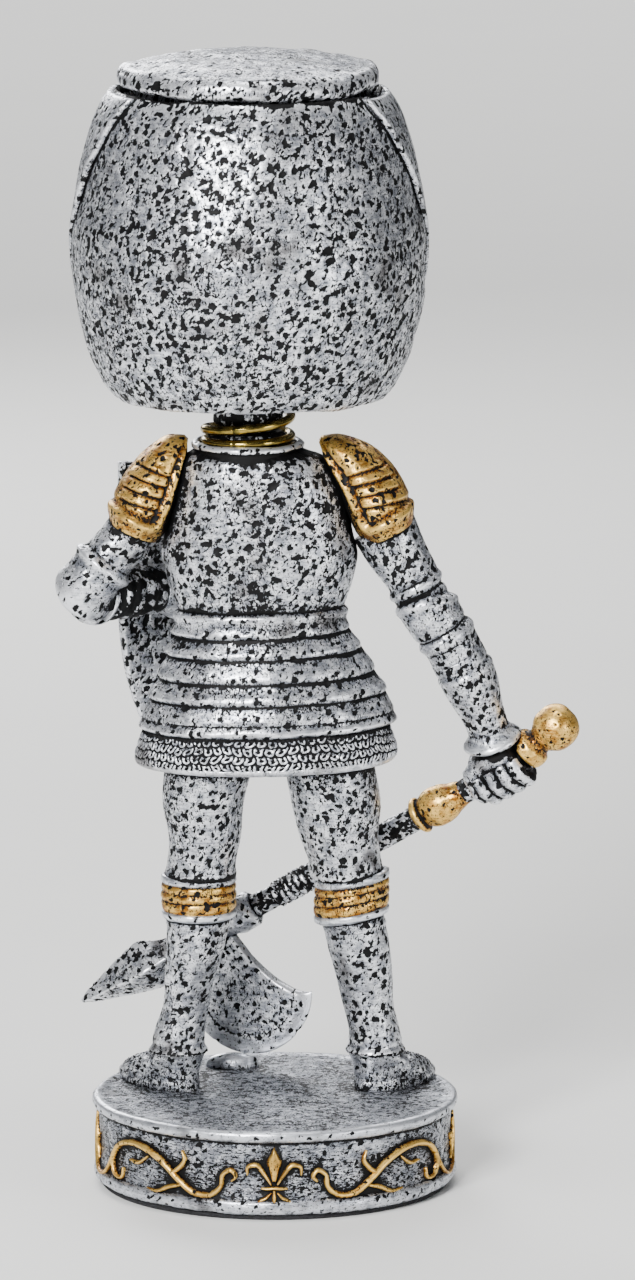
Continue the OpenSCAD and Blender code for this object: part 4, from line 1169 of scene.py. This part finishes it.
# black between the fingers, and a black band where the cuff shades the hand
along = (right_hand[0] - FIST) @ shaft_way / FINGERS_APART
to_wrist = (wrist - FIST) / np.linalg.norm(wrist - FIST)
on_fingers = (right_hand[0] - FIST) @ to_wrist < 1.6
between = drawn_line(FINGERS_APART * (along - np.round(along)), 0.2, right_hand[0], 67)
below_cuff = (wrist - right_hand[0]) @ to_wrist - 2.2 + 0.6 * soft_noise(right_hand[0], 1.2, 71)
between = np.minimum(np.where(on_fingers, between, 1.0), below_cuff)
piece("hand_right", right_hand, silver, ["gauntlet_right"], pits=0.75, uneven=0.16, inked=between,
      wash_and_shade=0.45)

at_bar = bend_to + reach / np.linalg.norm(reach) * 3.2
left = fist(at_bar, UP, bend_to, 0.85, [3.6, 2.4, 1.9], thumb=False)
left[0][:] = at_bar + (left[0] - at_bar) * 0.82
piece("hand_left", left, silver, ["gauntlet_left"], pits=0.6, uneven=0.1)

# %% [markdown]
# ## Axe
# The shaft runs from the fist down behind the legs. Its gold knobs, ribs and
# socket are turned shapes. The blade is a fan between two hollow curves and a
# round cutting edge; it is a grid stretched between those curves, given a
# front and a back whose distance thins towards the edge.

# %% Shaft, knobs and spike
BUTT_WAY = np.array([-0.729, 0.212, 0.653])
neck_s, head_s, tip_s = 48.8, 56.7, 83.5
rib = 1.1
rib_s = neck_s - 4.3 - 6 * rib
shaft = [[0.05, -4.2], [shaft_r, -4.2], [shaft_r, rib_s - 0.2]]
for k in range(6):
    low = rib_s + rib * k
    shaft += [[shaft_r - 0.25, low], [shaft_r + 0.2, low + 0.3 * rib], [shaft_r + 0.25, low + 0.75 * rib]]
shaft += [[shaft_r - 0.2, neck_s - 4.3], [shaft_r - 0.15, neck_s + 0.4], [0.05, neck_s + 0.4]]
rod = lathe(cornered(shaft, 0.3), FIST, shaft_way, 0.3)
down = (rod[0] - FIST) @ shaft_way
cut_at = [rib_s + rib * n for n in range(7)] + [neck_s - 0.2, 17.3]
cuts = [drawn_line(down - at, 0.14, rod[0], 30 + k) for k, at in enumerate(cut_at)]
piece("axe_shaft_turned", rod, silver, ["axe_shaft"], pits=1.35, inked=np.min(cuts, axis=0))

knop = curve_through([[shaft_r, 7.6], [shaft_r + 0.3, 8.6], [2.6, 9.5], [3.1, 10.8], [3.3, 12.2],
                      [3.2, 13.6], [2.7, 14.8], [2.3, 15.4]], 0.25)
ring = curve_through([[2.3, 15.4], [2.95, 15.7], [2.95, 16.4], [2.4, 16.8], [shaft_r, 17.0]], 0.25)
knob = lathe(np.vstack([[[0.05, 7.6]], knop, ring[1:], [[0.05, 17.0]]]), FIST, shaft_way, 0.28)
waist = drawn_line((knob[0] - FIST) @ shaft_way - 15.4, 0.16, knob[0], 69)
piece("axe_knob_gilded", knob, gold, ["axe_knop"], pits=0.6, uneven=0.2, inked=waist)
pommel = curve_through([[0.05, 4.6], [2.3, 4.6], [3.1, 4.9], [3.3, 5.8], [3.1, 6.9], [2.35, 7.5],
                        [2.15, 8.1], [2.6, 8.8], [3.4, 9.9],
                        [3.75, 11.5], [3.45, 13.2], [2.4, 14.6], [1.0, 15.2], [0.05, 15.3]], 0.25)
pommel[:, 0] = np.maximum(pommel[:, 0], 0.05)
piece("axe_pommel_gilded", lathe(pommel, FIST, BUTT_WAY, 0.28), gold, ["axe_pommel"],
      pits=0.35, uneven=0.22)

socket = cornered([[0.05, neck_s], [2.3, neck_s], [2.95, neck_s + 0.6], [3.05, neck_s + 3.4],
                   [2.6, neck_s + 4.4], [2.45, neck_s + 5.2],
                   [2.45, tip_s - 17.5], [0.05, tip_s - 17.5]], 0.3)
piece("axe_socket_turned", lathe(socket, FIST, shaft_way, 0.3), silver, ["axe_socket"], pits=0.8,
      uneven=0.16)


def four_sided(a):
    """Share of the radius that makes a circle a square standing on a corner."""
    return 1 / (np.abs(np.cos(a)) + np.abs(np.sin(a)))


SPIKE = ((18.6, 2.5), (17.0, 2.9), (13.5, 4.35), (12.2, 4.1), (6, 2.4), (0.8, 0.75), (0, 0.35))
rows = [[*(FIST + shaft_way * (tip_s - to_tip)), *shaft_way, r, r] for to_tip, r in SPIKE]
piece("axe_spike_four_sided", loft(rows, 0.3, section=four_sided, cap=0.6), silver, ["axe_spike"], pits=1.1)

# %% Blade
BLADE_R, BLADE_REACH = 10.7, 11.3
level_way = np.array([shaft_way[0], shaft_way[1], 0]) / np.hypot(shaft_way[0], shaft_way[1])
blade_side = np.cross(level_way, UP)
blade_up = np.cross(blade_side, shaft_way)
if blade_up[2] < 0:
    blade_up = -blade_up


def blade_solid(neck=2.6, half_t=0.95):
    """The edge opens further on the spike's side than on the shaft's. Down the
    blade (k from 0 to 1) the half width follows a hollow curve to
    the horn; across it (q from -1 to 1) the last row is the round cutting
    edge. Half thickness: full at the neck, a raised lip along the hollow
    sides, and a bevel that falls to nothing over the last 2.7 mm."""
    k = np.linspace(0, 1, 62)[:, None]
    q = np.linspace(-1, 1, 71)[None, :]
    half_open = np.radians(61) + np.radians(21) * step_up(q, -0.3, 0.3)
    horn = [np.sin(half_open) * BLADE_R, -BLADE_REACH - np.cos(half_open) * BLADE_R]
    wide = neck + (horn[0] - neck) * k ** (1.45 - 0.9 * step_up(q, -0.3, 0.3))
    drop = -2.2 + (horn[1] + 2.2) * (1 - (1 - k) ** 1.7)
    arc_x = np.sin(half_open * q) / np.sin(half_open)
    x = wide * (arc_x * k + q * (1 - k))
    y = drop + (-BLADE_REACH - BLADE_R * np.cos(half_open * q) - horn[1]) * k**2
    from_edge = BLADE_R - np.hypot(x, y + BLADE_REACH)
    from_edge = np.where(y > -BLADE_REACH, np.maximum(from_edge, 9 * (1 - k)), from_edge)
    from_side = (1 - np.abs(q)) * wide
    thick = half_t * (0.16 + 0.84 * step_up(from_edge, 0.0, 2.7))
    thick = thick + 0.22 * ridge(from_side, 0.45, 0.5) * step_up(from_edge, 1, 3)
    thick = thick - 0.12 * ridge(from_edge, 3.1, 0.5)
    thick = thick * (0.45 + 0.55 * step_up(from_side, 0, 0.35))
    flat = FIST + shaft_way * head_s + x[..., None] * shaft_way + y[..., None] * blade_up
    out = thick[..., None] * blade_side
    return sheet_between(flat + out, flat - out)


blade = blade_solid()
middle = blade[0] - FIST - shaft_way * head_s
to_edge = BLADE_R - np.hypot(middle @ shaft_way, middle @ blade_up + BLADE_REACH)
bevel = np.where(middle @ blade_up < -8, drawn_line(to_edge - 2.8, 0.1, blade[0], 33), 1.0)
piece("axe_blade_bevelled", blade, silver, ["axe_blade"], pits=0.85, uneven=0.12, inked=bevel)

# %% [markdown]
# ## Shield
# A heater shield on the left arm: straight sides that run into a pointed
# foot, bent round an upright cylinder. The board is a grid whose rows are as
# wide as the outline is at that height; the border and the cross are raised
# sheets on the same grid, so they follow the bend.

# %% Board, border and cross
board_low, board_high, board_mid = box("shield_board")
shield_x = board_mid[0]
shield_w = half_width("shield_board")
shield_top, shield_foot = board_high[2], board_low[2]
shield_front = board_low[1]
bend_r, shield_t, straight = 40.0, 2.0, 24.0


def heater_wide(z, inset):
    """Half width at height z: full down to the end of the straight sides,
    then the quarter of an ellipse that ends in the foot."""
    low = shield_foot + 1.6 * inset
    along = np.clip((shield_top - straight - z) / (shield_top - straight - low), 0, 1)
    return np.maximum((shield_w - inset) * np.sqrt(1 - along**2), 0.04)


def bent(x, z, out):
    """A point of the board at x from its middle, at height z, `out` mm in
    front of its back: bent round an upright axis behind it."""
    turn = x / (bend_r + shield_t)
    radius = bend_r + out
    axis_y = shield_front + shield_t + bend_r
    return np.stack([shield_x + radius * np.sin(turn), axis_y - radius * np.cos(turn), z], -1)


z = np.linspace(shield_foot + 0.05, shield_top, 120)[:, None]
q = np.linspace(-1, 1, 77)[None, :]
x, zz = q * heater_wide(z, 0), z + 0 * q
edge = 0.5 * (1 - np.sqrt(np.clip(1 - np.clip((np.abs(q) - 0.97) / 0.03, 0, 1) ** 2, 0, 1))) + 0 * z
board = sheet_between(bent(x, zz, shield_t - edge), bent(x, zz, 0.0 * x + edge))
piece("shield_board_bent", board, silver, ["shield_board"], pits=1.15, uneven=0.12)


def outline(inset, count=230):
    """The heater outline as one closed line: the top from left to right, then
    down the right side to the foot and up the left side."""
    top, low = shield_top - inset, shield_foot + 1.6 * inset
    zs = top - (top - low) * np.sin(np.linspace(0, np.pi / 2, count))
    side = heater_wide(zs, inset)
    top_x = np.linspace(-(shield_w - inset), shield_w - inset, 60)[1:-1]
    x = np.concatenate([top_x, side, -side[::-1]])
    z = np.concatenate([0 * top_x + shield_top - inset, zs, zs[::-1]])
    return x, z


section = np.linspace(0, np.pi, 9)
rows = []
for share in 0.5 - 0.5 * np.cos(section):
    x, z = outline(0.05 + 1.75 * share)
    rows.append(bent(x, z, shield_t - 0.15 + 0.85 * np.sin(np.arccos(1 - 2 * share)) + 0 * x))
rows.append(bent(*outline(1.0), shield_t - 0.4))
piece("shield_border", solid_of_rings(np.stack(rows), loop=True), smooth_silver, ["shield_rim"],
      pits=0.35, uneven=0.08)


def bar(x0, x1, z0, z1):
    """A raised bar of the cross, with chamfered sides."""
    x = np.linspace(x0, x1, max(6, int((x1 - x0) / 0.5)))[None, :]
    z = np.linspace(z0, z1, max(6, int((z1 - z0) / 0.5)))[:, None]
    inner = np.minimum(np.minimum(x - x0, x1 - x), np.minimum(z - z0, z1 - z))
    out = shield_t + 0.35 + 0.25 * step_up(inner, 0, 0.5)
    return sheet_between(bent(x + 0 * z, z + 0 * x, out),
                         bent(x + 0 * z, z + 0 * x, shield_t - 0.3 + 0 * out))


middle = (shield_top + shield_foot) / 2
cross = joined(bar(-1.8, 1.8, middle - 20, middle + 22), bar(-10.6, 10.6, middle + 5, middle + 8.6))
piece("shield_cross_gilded", cross, gold, ["shield_cross"], pits=0.45, uneven=0.1)

grip_y = box("shield_grip")[0][1]
rod = cornered([[0.05, -6.6], [0.8, -6.6], [1.1, -6.2], [1.1, 6.2], [0.8, 6.6], [0.05, 6.6]], 0.4)
a = np.linspace(0, 2 * np.pi, 24, endpoint=False)
across, upward = (np.sign(wave) * np.abs(wave) ** 0.5 for wave in (np.cos(a), np.sin(a)))
square = np.stack([1.15 * across, 0 * a, 0.85 * upward], -1)
share = np.linspace(0, 1, 12)[:, None, None]
arms = []
for end in (-6, 6):
    on_board = np.array([at_bar[0], grip_y + 0.1, at_bar[2] + end])
    on_bar = np.array([at_bar[0], at_bar[1] + 0.5, at_bar[2] + end])
    arms.append(solid_of_rings(on_board + share * (on_bar - on_board) + square[None]))
piece("shield_grip_bar", joined(lathe(rod, at_bar, step=0.4), *arms), silver, ["shield_grip"], pits=0.4)

# %% [markdown]
# ## Spring
# One brass wire wound close, whose last turn the head pulls open. The wire
# is cut into a seat and four pieces of half a turn, one for each turn of the
# plain model that it replaces. Half a turn is the longest stretch that runs
# steadily from one side of the neck to the other, and neighbours always meet.

# %% Wire
wire_r = 0.75
coil_r = half_width("spring_seat_turns") - wire_r
wire_foot = box("spring_seat_turns")[0][2] + wire_r
PITCH, TURNS, OPENING, OPENS_AT = 1.53, 4.7, 2.6, 3.6


def wire_middle(t):
    """The wire's centre after t turns: a helix of even pitch whose rise grows
    with the square of the distance past the turn where it opens."""
    z = wire_foot + PITCH * t + OPENING * (np.maximum(0, t - OPENS_AT) / (TURNS - OPENS_AT)) ** 2
    a = 2 * np.pi * t
    return np.stack([neck_x + coil_r * np.cos(a), coil_r * np.sin(a), z], -1)


def wire_solid(start, end):
    """A round section carried along the helix, square to it."""
    t = np.linspace(start, end, int((end - start) * 120) + 1)
    way = wire_middle(t + 0.001) - wire_middle(t - 0.001)
    way /= np.linalg.norm(way, axis=1, keepdims=True)
    out = np.stack([np.cos(2 * np.pi * t), np.sin(2 * np.pi * t), 0 * t], -1)
    out -= (out * way).sum(1, keepdims=True) * way
    over = np.cross(out, way)
    a = np.linspace(0, 2 * np.pi, 20, endpoint=False)[None, :, None]
    section = np.cos(a) * out[:, None] + np.sin(a) * over[:, None]
    return solid_of_rings(wire_middle(t)[:, None] + wire_r * section)


piece("spring_seat", wire_solid(0, 2.7), brass, ["spring_seat_turns"], pits=0, uneven=0)
HALF_TURNS = [
    ("spring_half_turn_1", 2.7, 3.2, "figure", "spring_low", "spring_low_turn"),
    ("spring_half_turn_2", 3.2, 3.7, "spring_low", "spring_mid", "spring_mid_turn"),
    ("spring_half_turn_3", 3.7, 4.2, "spring_mid", "spring_high", "spring_high_turn"),
    ("spring_half_turn_4", 4.2, TURNS, "spring_high", "head", "spring_head_turns"),
]
for name, start, end, below, above, node in HALF_TURNS:
    part = piece(name, wire_solid(start, end), brass, [node], body=None, pits=0,
                 uneven=0)
    ends = wire_middle(np.array([start, end]))
    way = (ends[1] - ends[0]) / np.linalg.norm(ends[1] - ends[0])
    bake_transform(part)

# %% [markdown]
# ## Helm
# The helm is a barrel that bulges above its middle, a flat cap with an
# overhanging edge, and on the front a face plate whose rear edge leans back
# towards the top, with eye slits, breathing holes and a gilded cross. All of
# it is the same turned outline, so the plate and the cross are grids on that
# outline, moved outwards, with the slits and holes left out of the faces.

# %% Outline of the helm
barrel_low, barrel_high, barrel = box("helm_barrel")
helm_x = barrel[0]
helm_r = half_width("helm_barrel")
helm_z = barrel_low[2]
helm_h = barrel_high[2] - barrel_low[2]
OUTLINE = [[0.0, 0.77], [0.035, 0.825], [0.086, 0.872], [0.15, 0.92], [0.215, 0.95], [0.34, 0.99],
           [0.45, 1.0], [0.55, 0.993],
           [0.66, 0.965], [0.75, 0.935], [0.83, 0.9], [0.9, 0.86], [0.94, 0.83], [1.0, 0.765]]
outline_line = curve_through(OUTLINE, 0.004)


def helm_radius(z):
    """The barrel's outer radius at height z."""
    return helm_r * np.interp((z - helm_z) / helm_h, outline_line[:, 0], outline_line[:, 1])


eye_z = helm_z + 29
BREATHS = [
    (side * (6 + 3.6 * column), helm_z + 6.5 + 3.6 * row)
    for side in (-1, 1) for row in range(4) for column in range(3)
]


def in_slit(x, z):
    """Points of the front seen straight on that lie in an eye slit."""
    beside = np.abs(np.abs(x) - 9.4) - 5.8
    return np.maximum(beside, np.abs(z - eye_z) - 0.75) < 0


def in_breath(x, z):
    """Points that lie in a breathing hole."""
    return np.min([np.hypot(x - hx, z - hz) for hx, hz in BREATHS], axis=0) < 0.8


def rear_edge(z):
    """How far back the plate reaches at height z."""
    share = [0, 1.5, 14, 26.8, 35.3, 41, 46, 50]
    return np.interp(z - helm_z, share, [-12, -12, -6, 1, 6, 9.6, 11.4, 12])


z = cornered([[helm_z + 0.3, 0], [helm_z + helm_h, 0]], 0.34)[:, 0]
r = helm_radius(z) - 0.35 * step_up(z, helm_z + 26, helm_z + 34)
outer = np.stack([r, z], -1)
wall = 2.4
inner_z = cornered([[helm_z + helm_h, 0], [helm_z + 0.3, 0]], 2.0)[:, 0]
inner = np.stack([helm_radius(inner_z) - wall, inner_z], -1)
lip = cornered([[inner[-1, 0], helm_z + 0.3], [inner[-1, 0] + 0.3, helm_z], [outer[0, 0] - 0.5, helm_z],
                [outer[0, 0], helm_z + 0.3]], 0.34)
profile = np.vstack([lip[:-1], outer, inner[1:-1]])
shell = lathe(profile, np.array([helm_x, 0, 0]), step=0.36, loop=True)
x, y, z = (shell[0] - [helm_x, 0, 0]).T
behind_hole = (y < -5) & (in_slit(x, z) | in_breath(x, z)) & (np.hypot(x, y) > helm_radius(z) - 1.5)
ink = np.where(behind_hole, -1.0, 1.0)
on_side = (z > helm_z + 2) & (np.abs(x) > 10)
ink = np.where(on_side, np.minimum(ink, drawn_line(y - rear_edge(z) - 0.3, 0.3, shell[0], 97)), ink)
# painted shade: a black band round the top of the barrel, under the cap's overhanging edge
ink = np.minimum(ink, helm_z + helm_h - 0.35 + 0.6 * soft_noise(shell[0], 2.0, 98) - z)
piece("helm_barrel_pitted", shell, silver, ["helm_barrel"], body="head", pits=1.1, uneven=0.26, inked=ink)

# %% Cap and floor
crown_low, crown_high, _ = box("helm_crown")
crown_r = half_width("helm_crown")
cap_z = crown_low[2]
cap = cornered([[0.05, cap_z + 0.1], [crown_r - 1.5, cap_z + 0.1], [crown_r - 0.75, cap_z + 0.25]], 0.4)
edge = curve_through([[crown_r - 0.75, cap_z + 0.25], [crown_r - 0.1, cap_z + 0.7],
                      [crown_r, cap_z + 1.5], [crown_r - 0.25, cap_z + 2.6],
                      [crown_r - 1.0, cap_z + 3.4], [crown_r - 2.2, cap_z + 3.75],
                      [crown_r - 6, cap_z + 4.6], [7, crown_high[2] - 0.25],
                      [0.05, crown_high[2] - 0.05]], 0.36)
lid = lathe(np.vstack([cap[:-1], edge]), np.array([helm_x, 0, 0]), step=0.36)
turn = np.arctan2(lid[0][:, 1], lid[0][:, 0] - helm_x)
rim_share = step_up(np.hypot(lid[0][:, 0] - helm_x, lid[0][:, 1]), crown_r - 5, crown_r - 1)
waver = 0.22 * np.sin(2 * turn + 1) + 0.14 * np.sin(5 * turn) + 0.1 * np.sin(9 * turn + 2)
lid[0][:, 2] += rim_share * waver
beside = lid[0][:, 2] < cap_z + 3.4
piece("helm_cap", lid, silver, ["helm_crown"], body="head", pits=np.where(beside, 1.15, 0.7), uneven=0.28)

# the stub that the spring's last turns hold ends just above the plug
stub_r = plug_r - 0.35
stub_end = plug_high[2] + 0.45
inside_r = helm_radius(np.array([helm_z]))[0] - wall - 0.1
under = cornered([[0.05, stub_end], [stub_r - 1.6, stub_end], [stub_r, stub_end + 1.2],
                  [stub_r, helm_z + 0.2],
                  [inside_r, helm_z + 0.3], [inside_r, helm_z + 2.6], [0.05, helm_z + 2.6]], 0.4)
bottom = lathe(under, np.array([neck_x, 0, 0]), step=0.4)
away = np.hypot(bottom[0][:, 0] - neck_x, bottom[0][:, 1]) > stub_r + 1
bottom[0][away, 0] += helm_x - neck_x
piece("helm_floor_disc", bottom, silver, ["helm_floor"], body="head", pits=1.6)

# %% Face plate and cross
plate_t = 0.6


def front_grid(half_turn, low, high, step=0.34):
    """A grid over the front of the helm: each point's turn from straight
    ahead, and its height."""
    z = np.linspace(low, high, int((high - low) / step))[:, None]
    a = np.linspace(-half_turn, half_turn, int(2 * half_turn * helm_r / step))[None, :]
    return a + 0 * z, z + 0 * a


def wrapped(turn, z, grow):
    """The grid's points, `grow` mm outside the barrel."""
    r = helm_radius(z) + grow
    return np.stack([helm_x + r * np.sin(turn), -r * np.cos(turn), z], -1)


def face_middles(grid):
    """Each face's middle: x from the helm's middle, y, and height."""
    mid = (grid[:-1, :-1] + grid[1:, 1:]) / 2
    return mid[..., 0] - helm_x, mid[..., 1], mid[..., 2]


PLATE_TURN = np.radians(130)
a, z = front_grid(PLATE_TURN, helm_z + 1.6, helm_z + helm_h - 0.4, 0.38)
limit = np.arccos(np.clip(-rear_edge(z) / helm_radius(z), -1, 1))
squeezed = a / PLATE_TURN * limit
front = wrapped(squeezed, z, plate_t * step_up(limit - np.abs(squeezed), 0, 0.02))
x, y, height = face_middles(front)
opening = (in_slit(x, height) | in_breath(x, height)) & (y < -5)
plate = sheet_between(front, wrapped(squeezed, z, -0.5), keep=~opening)
piece("helm_face_plate_open", plate, silver, ["helm_face_plate"], body="head", pits=0.95, uneven=0.16)

a, z = front_grid(np.radians(56), helm_z + 2, helm_z + 45.5)
x, _, height = face_middles(wrapped(a, z, 0))
upright = np.abs(x) < 2.6 + 0.02 * (height - helm_z)
level = np.abs(height - eye_z) < 3.4
keep = (upright | level) & ~in_slit(x, height)
cross = sheet_between(wrapped(a, z, plate_t + 0.85), wrapped(a, z, plate_t - 0.1), keep=keep)
piece("helm_cross_gilded", cross, gold, ["helm_cross"], body="head", pits=0.5,
      uneven=0.1)

# %% [markdown]
# ## Where the wash and the painted shade run
# Black wash stays in hollows and the dry brush catches edges. In the broader
# hollows the black also stands for painted shade, where shade would fall.
# Both follow from how much of the space round a point is solid: half of it on
# a flat surface, more in a groove, less on an edge. Testing a ball round every
# point would take hours. Instead the outward directions of all the pieces are
# laid on a lattice of 0.6 mm. They are the slope of the solid, so the solid
# itself is the field that has this slope, which the fast Fourier transform
# finds in a few seconds, pieces inside one another and all.

# %% Grooves and edges
CELL = 0.6


def eight_corners(points, origin, shape):
    """For every point, the eight lattice cells round it, as one number each,
    and the share of the point that belongs to each."""
    q = (points - origin) / CELL
    base = np.floor(q).astype(int)
    part = q - base
    for corner in np.ndindex(2, 2, 2):
        share = np.prod(np.where(corner, part, 1 - part), axis=1)
        yield np.ravel_multi_index((base + corner).T, shape), share


def solid_share(reaches):
    """The solid's field is 1 inside and 0 outside. Its transform is i k.N/k^2,
    with N the transform of the outward directions. Clipped, so that pieces
    inside one another count once, and blurred over each reach, it is read at
    every point; 0 is flat, positive is a groove and negative an edge."""
    points = np.vstack([p[1] for p in PIECES])
    push = np.vstack([p[2] * p[3][:, None] for p in PIECES]) / CELL**3
    origin = points.min(0) - 9
    shape = tuple(np.ceil((points.max(0) + 9 - origin) / CELL).astype(int))
    lattice = np.zeros((3, np.prod(shape)))
    for place, weight in eight_corners(points, origin, shape):
        for k in range(3):
            lattice[k] += np.bincount(place, weight * push[:, k], lattice.shape[1])
    waves = [2 * np.pi * np.fft.fftfreq(n, CELL) for n in shape[:2]]
    waves.append(2 * np.pi * np.fft.rfftfreq(shape[2], CELL))
    wave = np.meshgrid(*waves, indexing="ij")
    square = sum(w**2 for w in wave)
    square[0, 0, 0] = 1
    total = sum(w * np.fft.rfftn(part.reshape(shape)) for w, part in zip(wave, lattice))
    field = np.fft.irfftn(1j * total / square, s=shape)
    field = np.clip(field - field[0, 0, 0], 0, 1)
    spectrum = np.fft.rfftn(field)
    for reach in reaches:
        blurred = np.fft.irfftn(spectrum * np.exp(-square * reach**2 / 2), s=shape).ravel()
        corners = eight_corners(points, origin, shape)
        yield 2 * sum(weight * blurred[place] for place, weight in corners) - 1


counts = np.cumsum([len(p[1]) for p in PIECES])[:-1]
for name, values in zip(("recess", "hollow"), solid_share((0.7, 2.6))):
    for (made, *_, wash_and_shade), value in zip(PIECES, np.split(values, counts)):
        value = np.minimum(value, wash_and_shade)
        layer = made.data.attributes.new(name, "FLOAT", "POINT")
        layer.data.foreach_set("value", value.astype(np.float32))
    print(name, "from least to most:", np.round(np.percentile(values, [1, 10, 50, 90, 99]), 2))

# %% [markdown]
# ## Floor, light and camera
# A pale table, big soft lamps on both sides and above, and a long lens from
# behind the figure, a little above it, as such a figurine is shown in a shop.

# %% Table
table = bpy.data.meshes.new("table")
half = 3.0
corners = [(-half, -half, 0), (half, -half, 0), (half, half, 0), (-half, half, 0)]
table.from_pydata(corners, [], [(0, 1, 2, 3)])
table_paint, tree, shader = finish_named("pale_painted_board")
board_tone = mixed(tree, grain(tree, 60, 3), colour("#E6E6E4"), colour("#EAEAE8"))
tree.links.new(board_tone, shader.inputs["Base Color"])
shader.inputs["Roughness"].default_value = 0.75
table.materials.append(table_paint)
floor = bpy.data.objects.new("table", table)
bpy.context.scene.collection.objects.link(floor)

world = bpy.data.worlds.new("pale_room")
world.use_nodes = True
world.node_tree.nodes["Background"].inputs["Color"].default_value = colour("#C9CCD2")
world.node_tree.nodes["Background"].inputs["Strength"].default_value = 0.12
bpy.context.scene.world = world


def lamp(name, place, aim, size, watts):
    """A square area lamp at `place`, turned to `aim`, both in metres."""
    data = bpy.data.lights.new(name, "AREA")
    data.size, data.energy = size, watts
    made = bpy.data.objects.new(name, data)
    made.location = place
    direction = Vector(aim) - Vector(place)
    made.rotation_mode = "QUATERNION"
    made.rotation_quaternion = direction.to_track_quat("-Z", "Y")
    bpy.context.scene.collection.objects.link(made)
    return made


chest = (0, 0, 0.1)
lamp("key_softbox", (0.28, 0.72, 0.46), chest, 0.26, 14.0)
lamp("fill_softbox", (-0.60, 0.50, 0.20), chest, 0.28, 2.2)
lamp("top_softbox", (0.0, 0.05, 0.75), chest, 0.28, 2.5)
lamp("front_softbox", (0.25, -0.75, 0.40), chest, 0.35, 4.0)
# the far end of the table has a lamp of its own, so it stays pale
lamp("table_softbox", (0.0, -1.9, 1.4), (0.0, -1.9, 0.0), 1.8, 45.0)

# %% Camera
camera = bpy.data.objects.new("camera", bpy.data.cameras.new("camera"))
bpy.context.scene.collection.objects.link(camera)
view_x = -0.00685
camera.location = (view_x, 1.5, 0.361)
aim = Vector((view_x, 0, 0.0884)) - camera.location
camera.rotation_mode = "QUATERNION"
camera.rotation_quaternion = aim.to_track_quat("-Z", "Y")
camera.data.sensor_fit = "VERTICAL"
camera.data.sensor_height = 36
camera.data.sensor_width = 36
camera.data.lens = 268.5
camera.data.clip_start, camera.data.clip_end = 0.05, 20
bpy.context.scene.camera = camera

print("triangles, about:", 2 * sum(len(p[0].data.polygons) for p in PIECES))
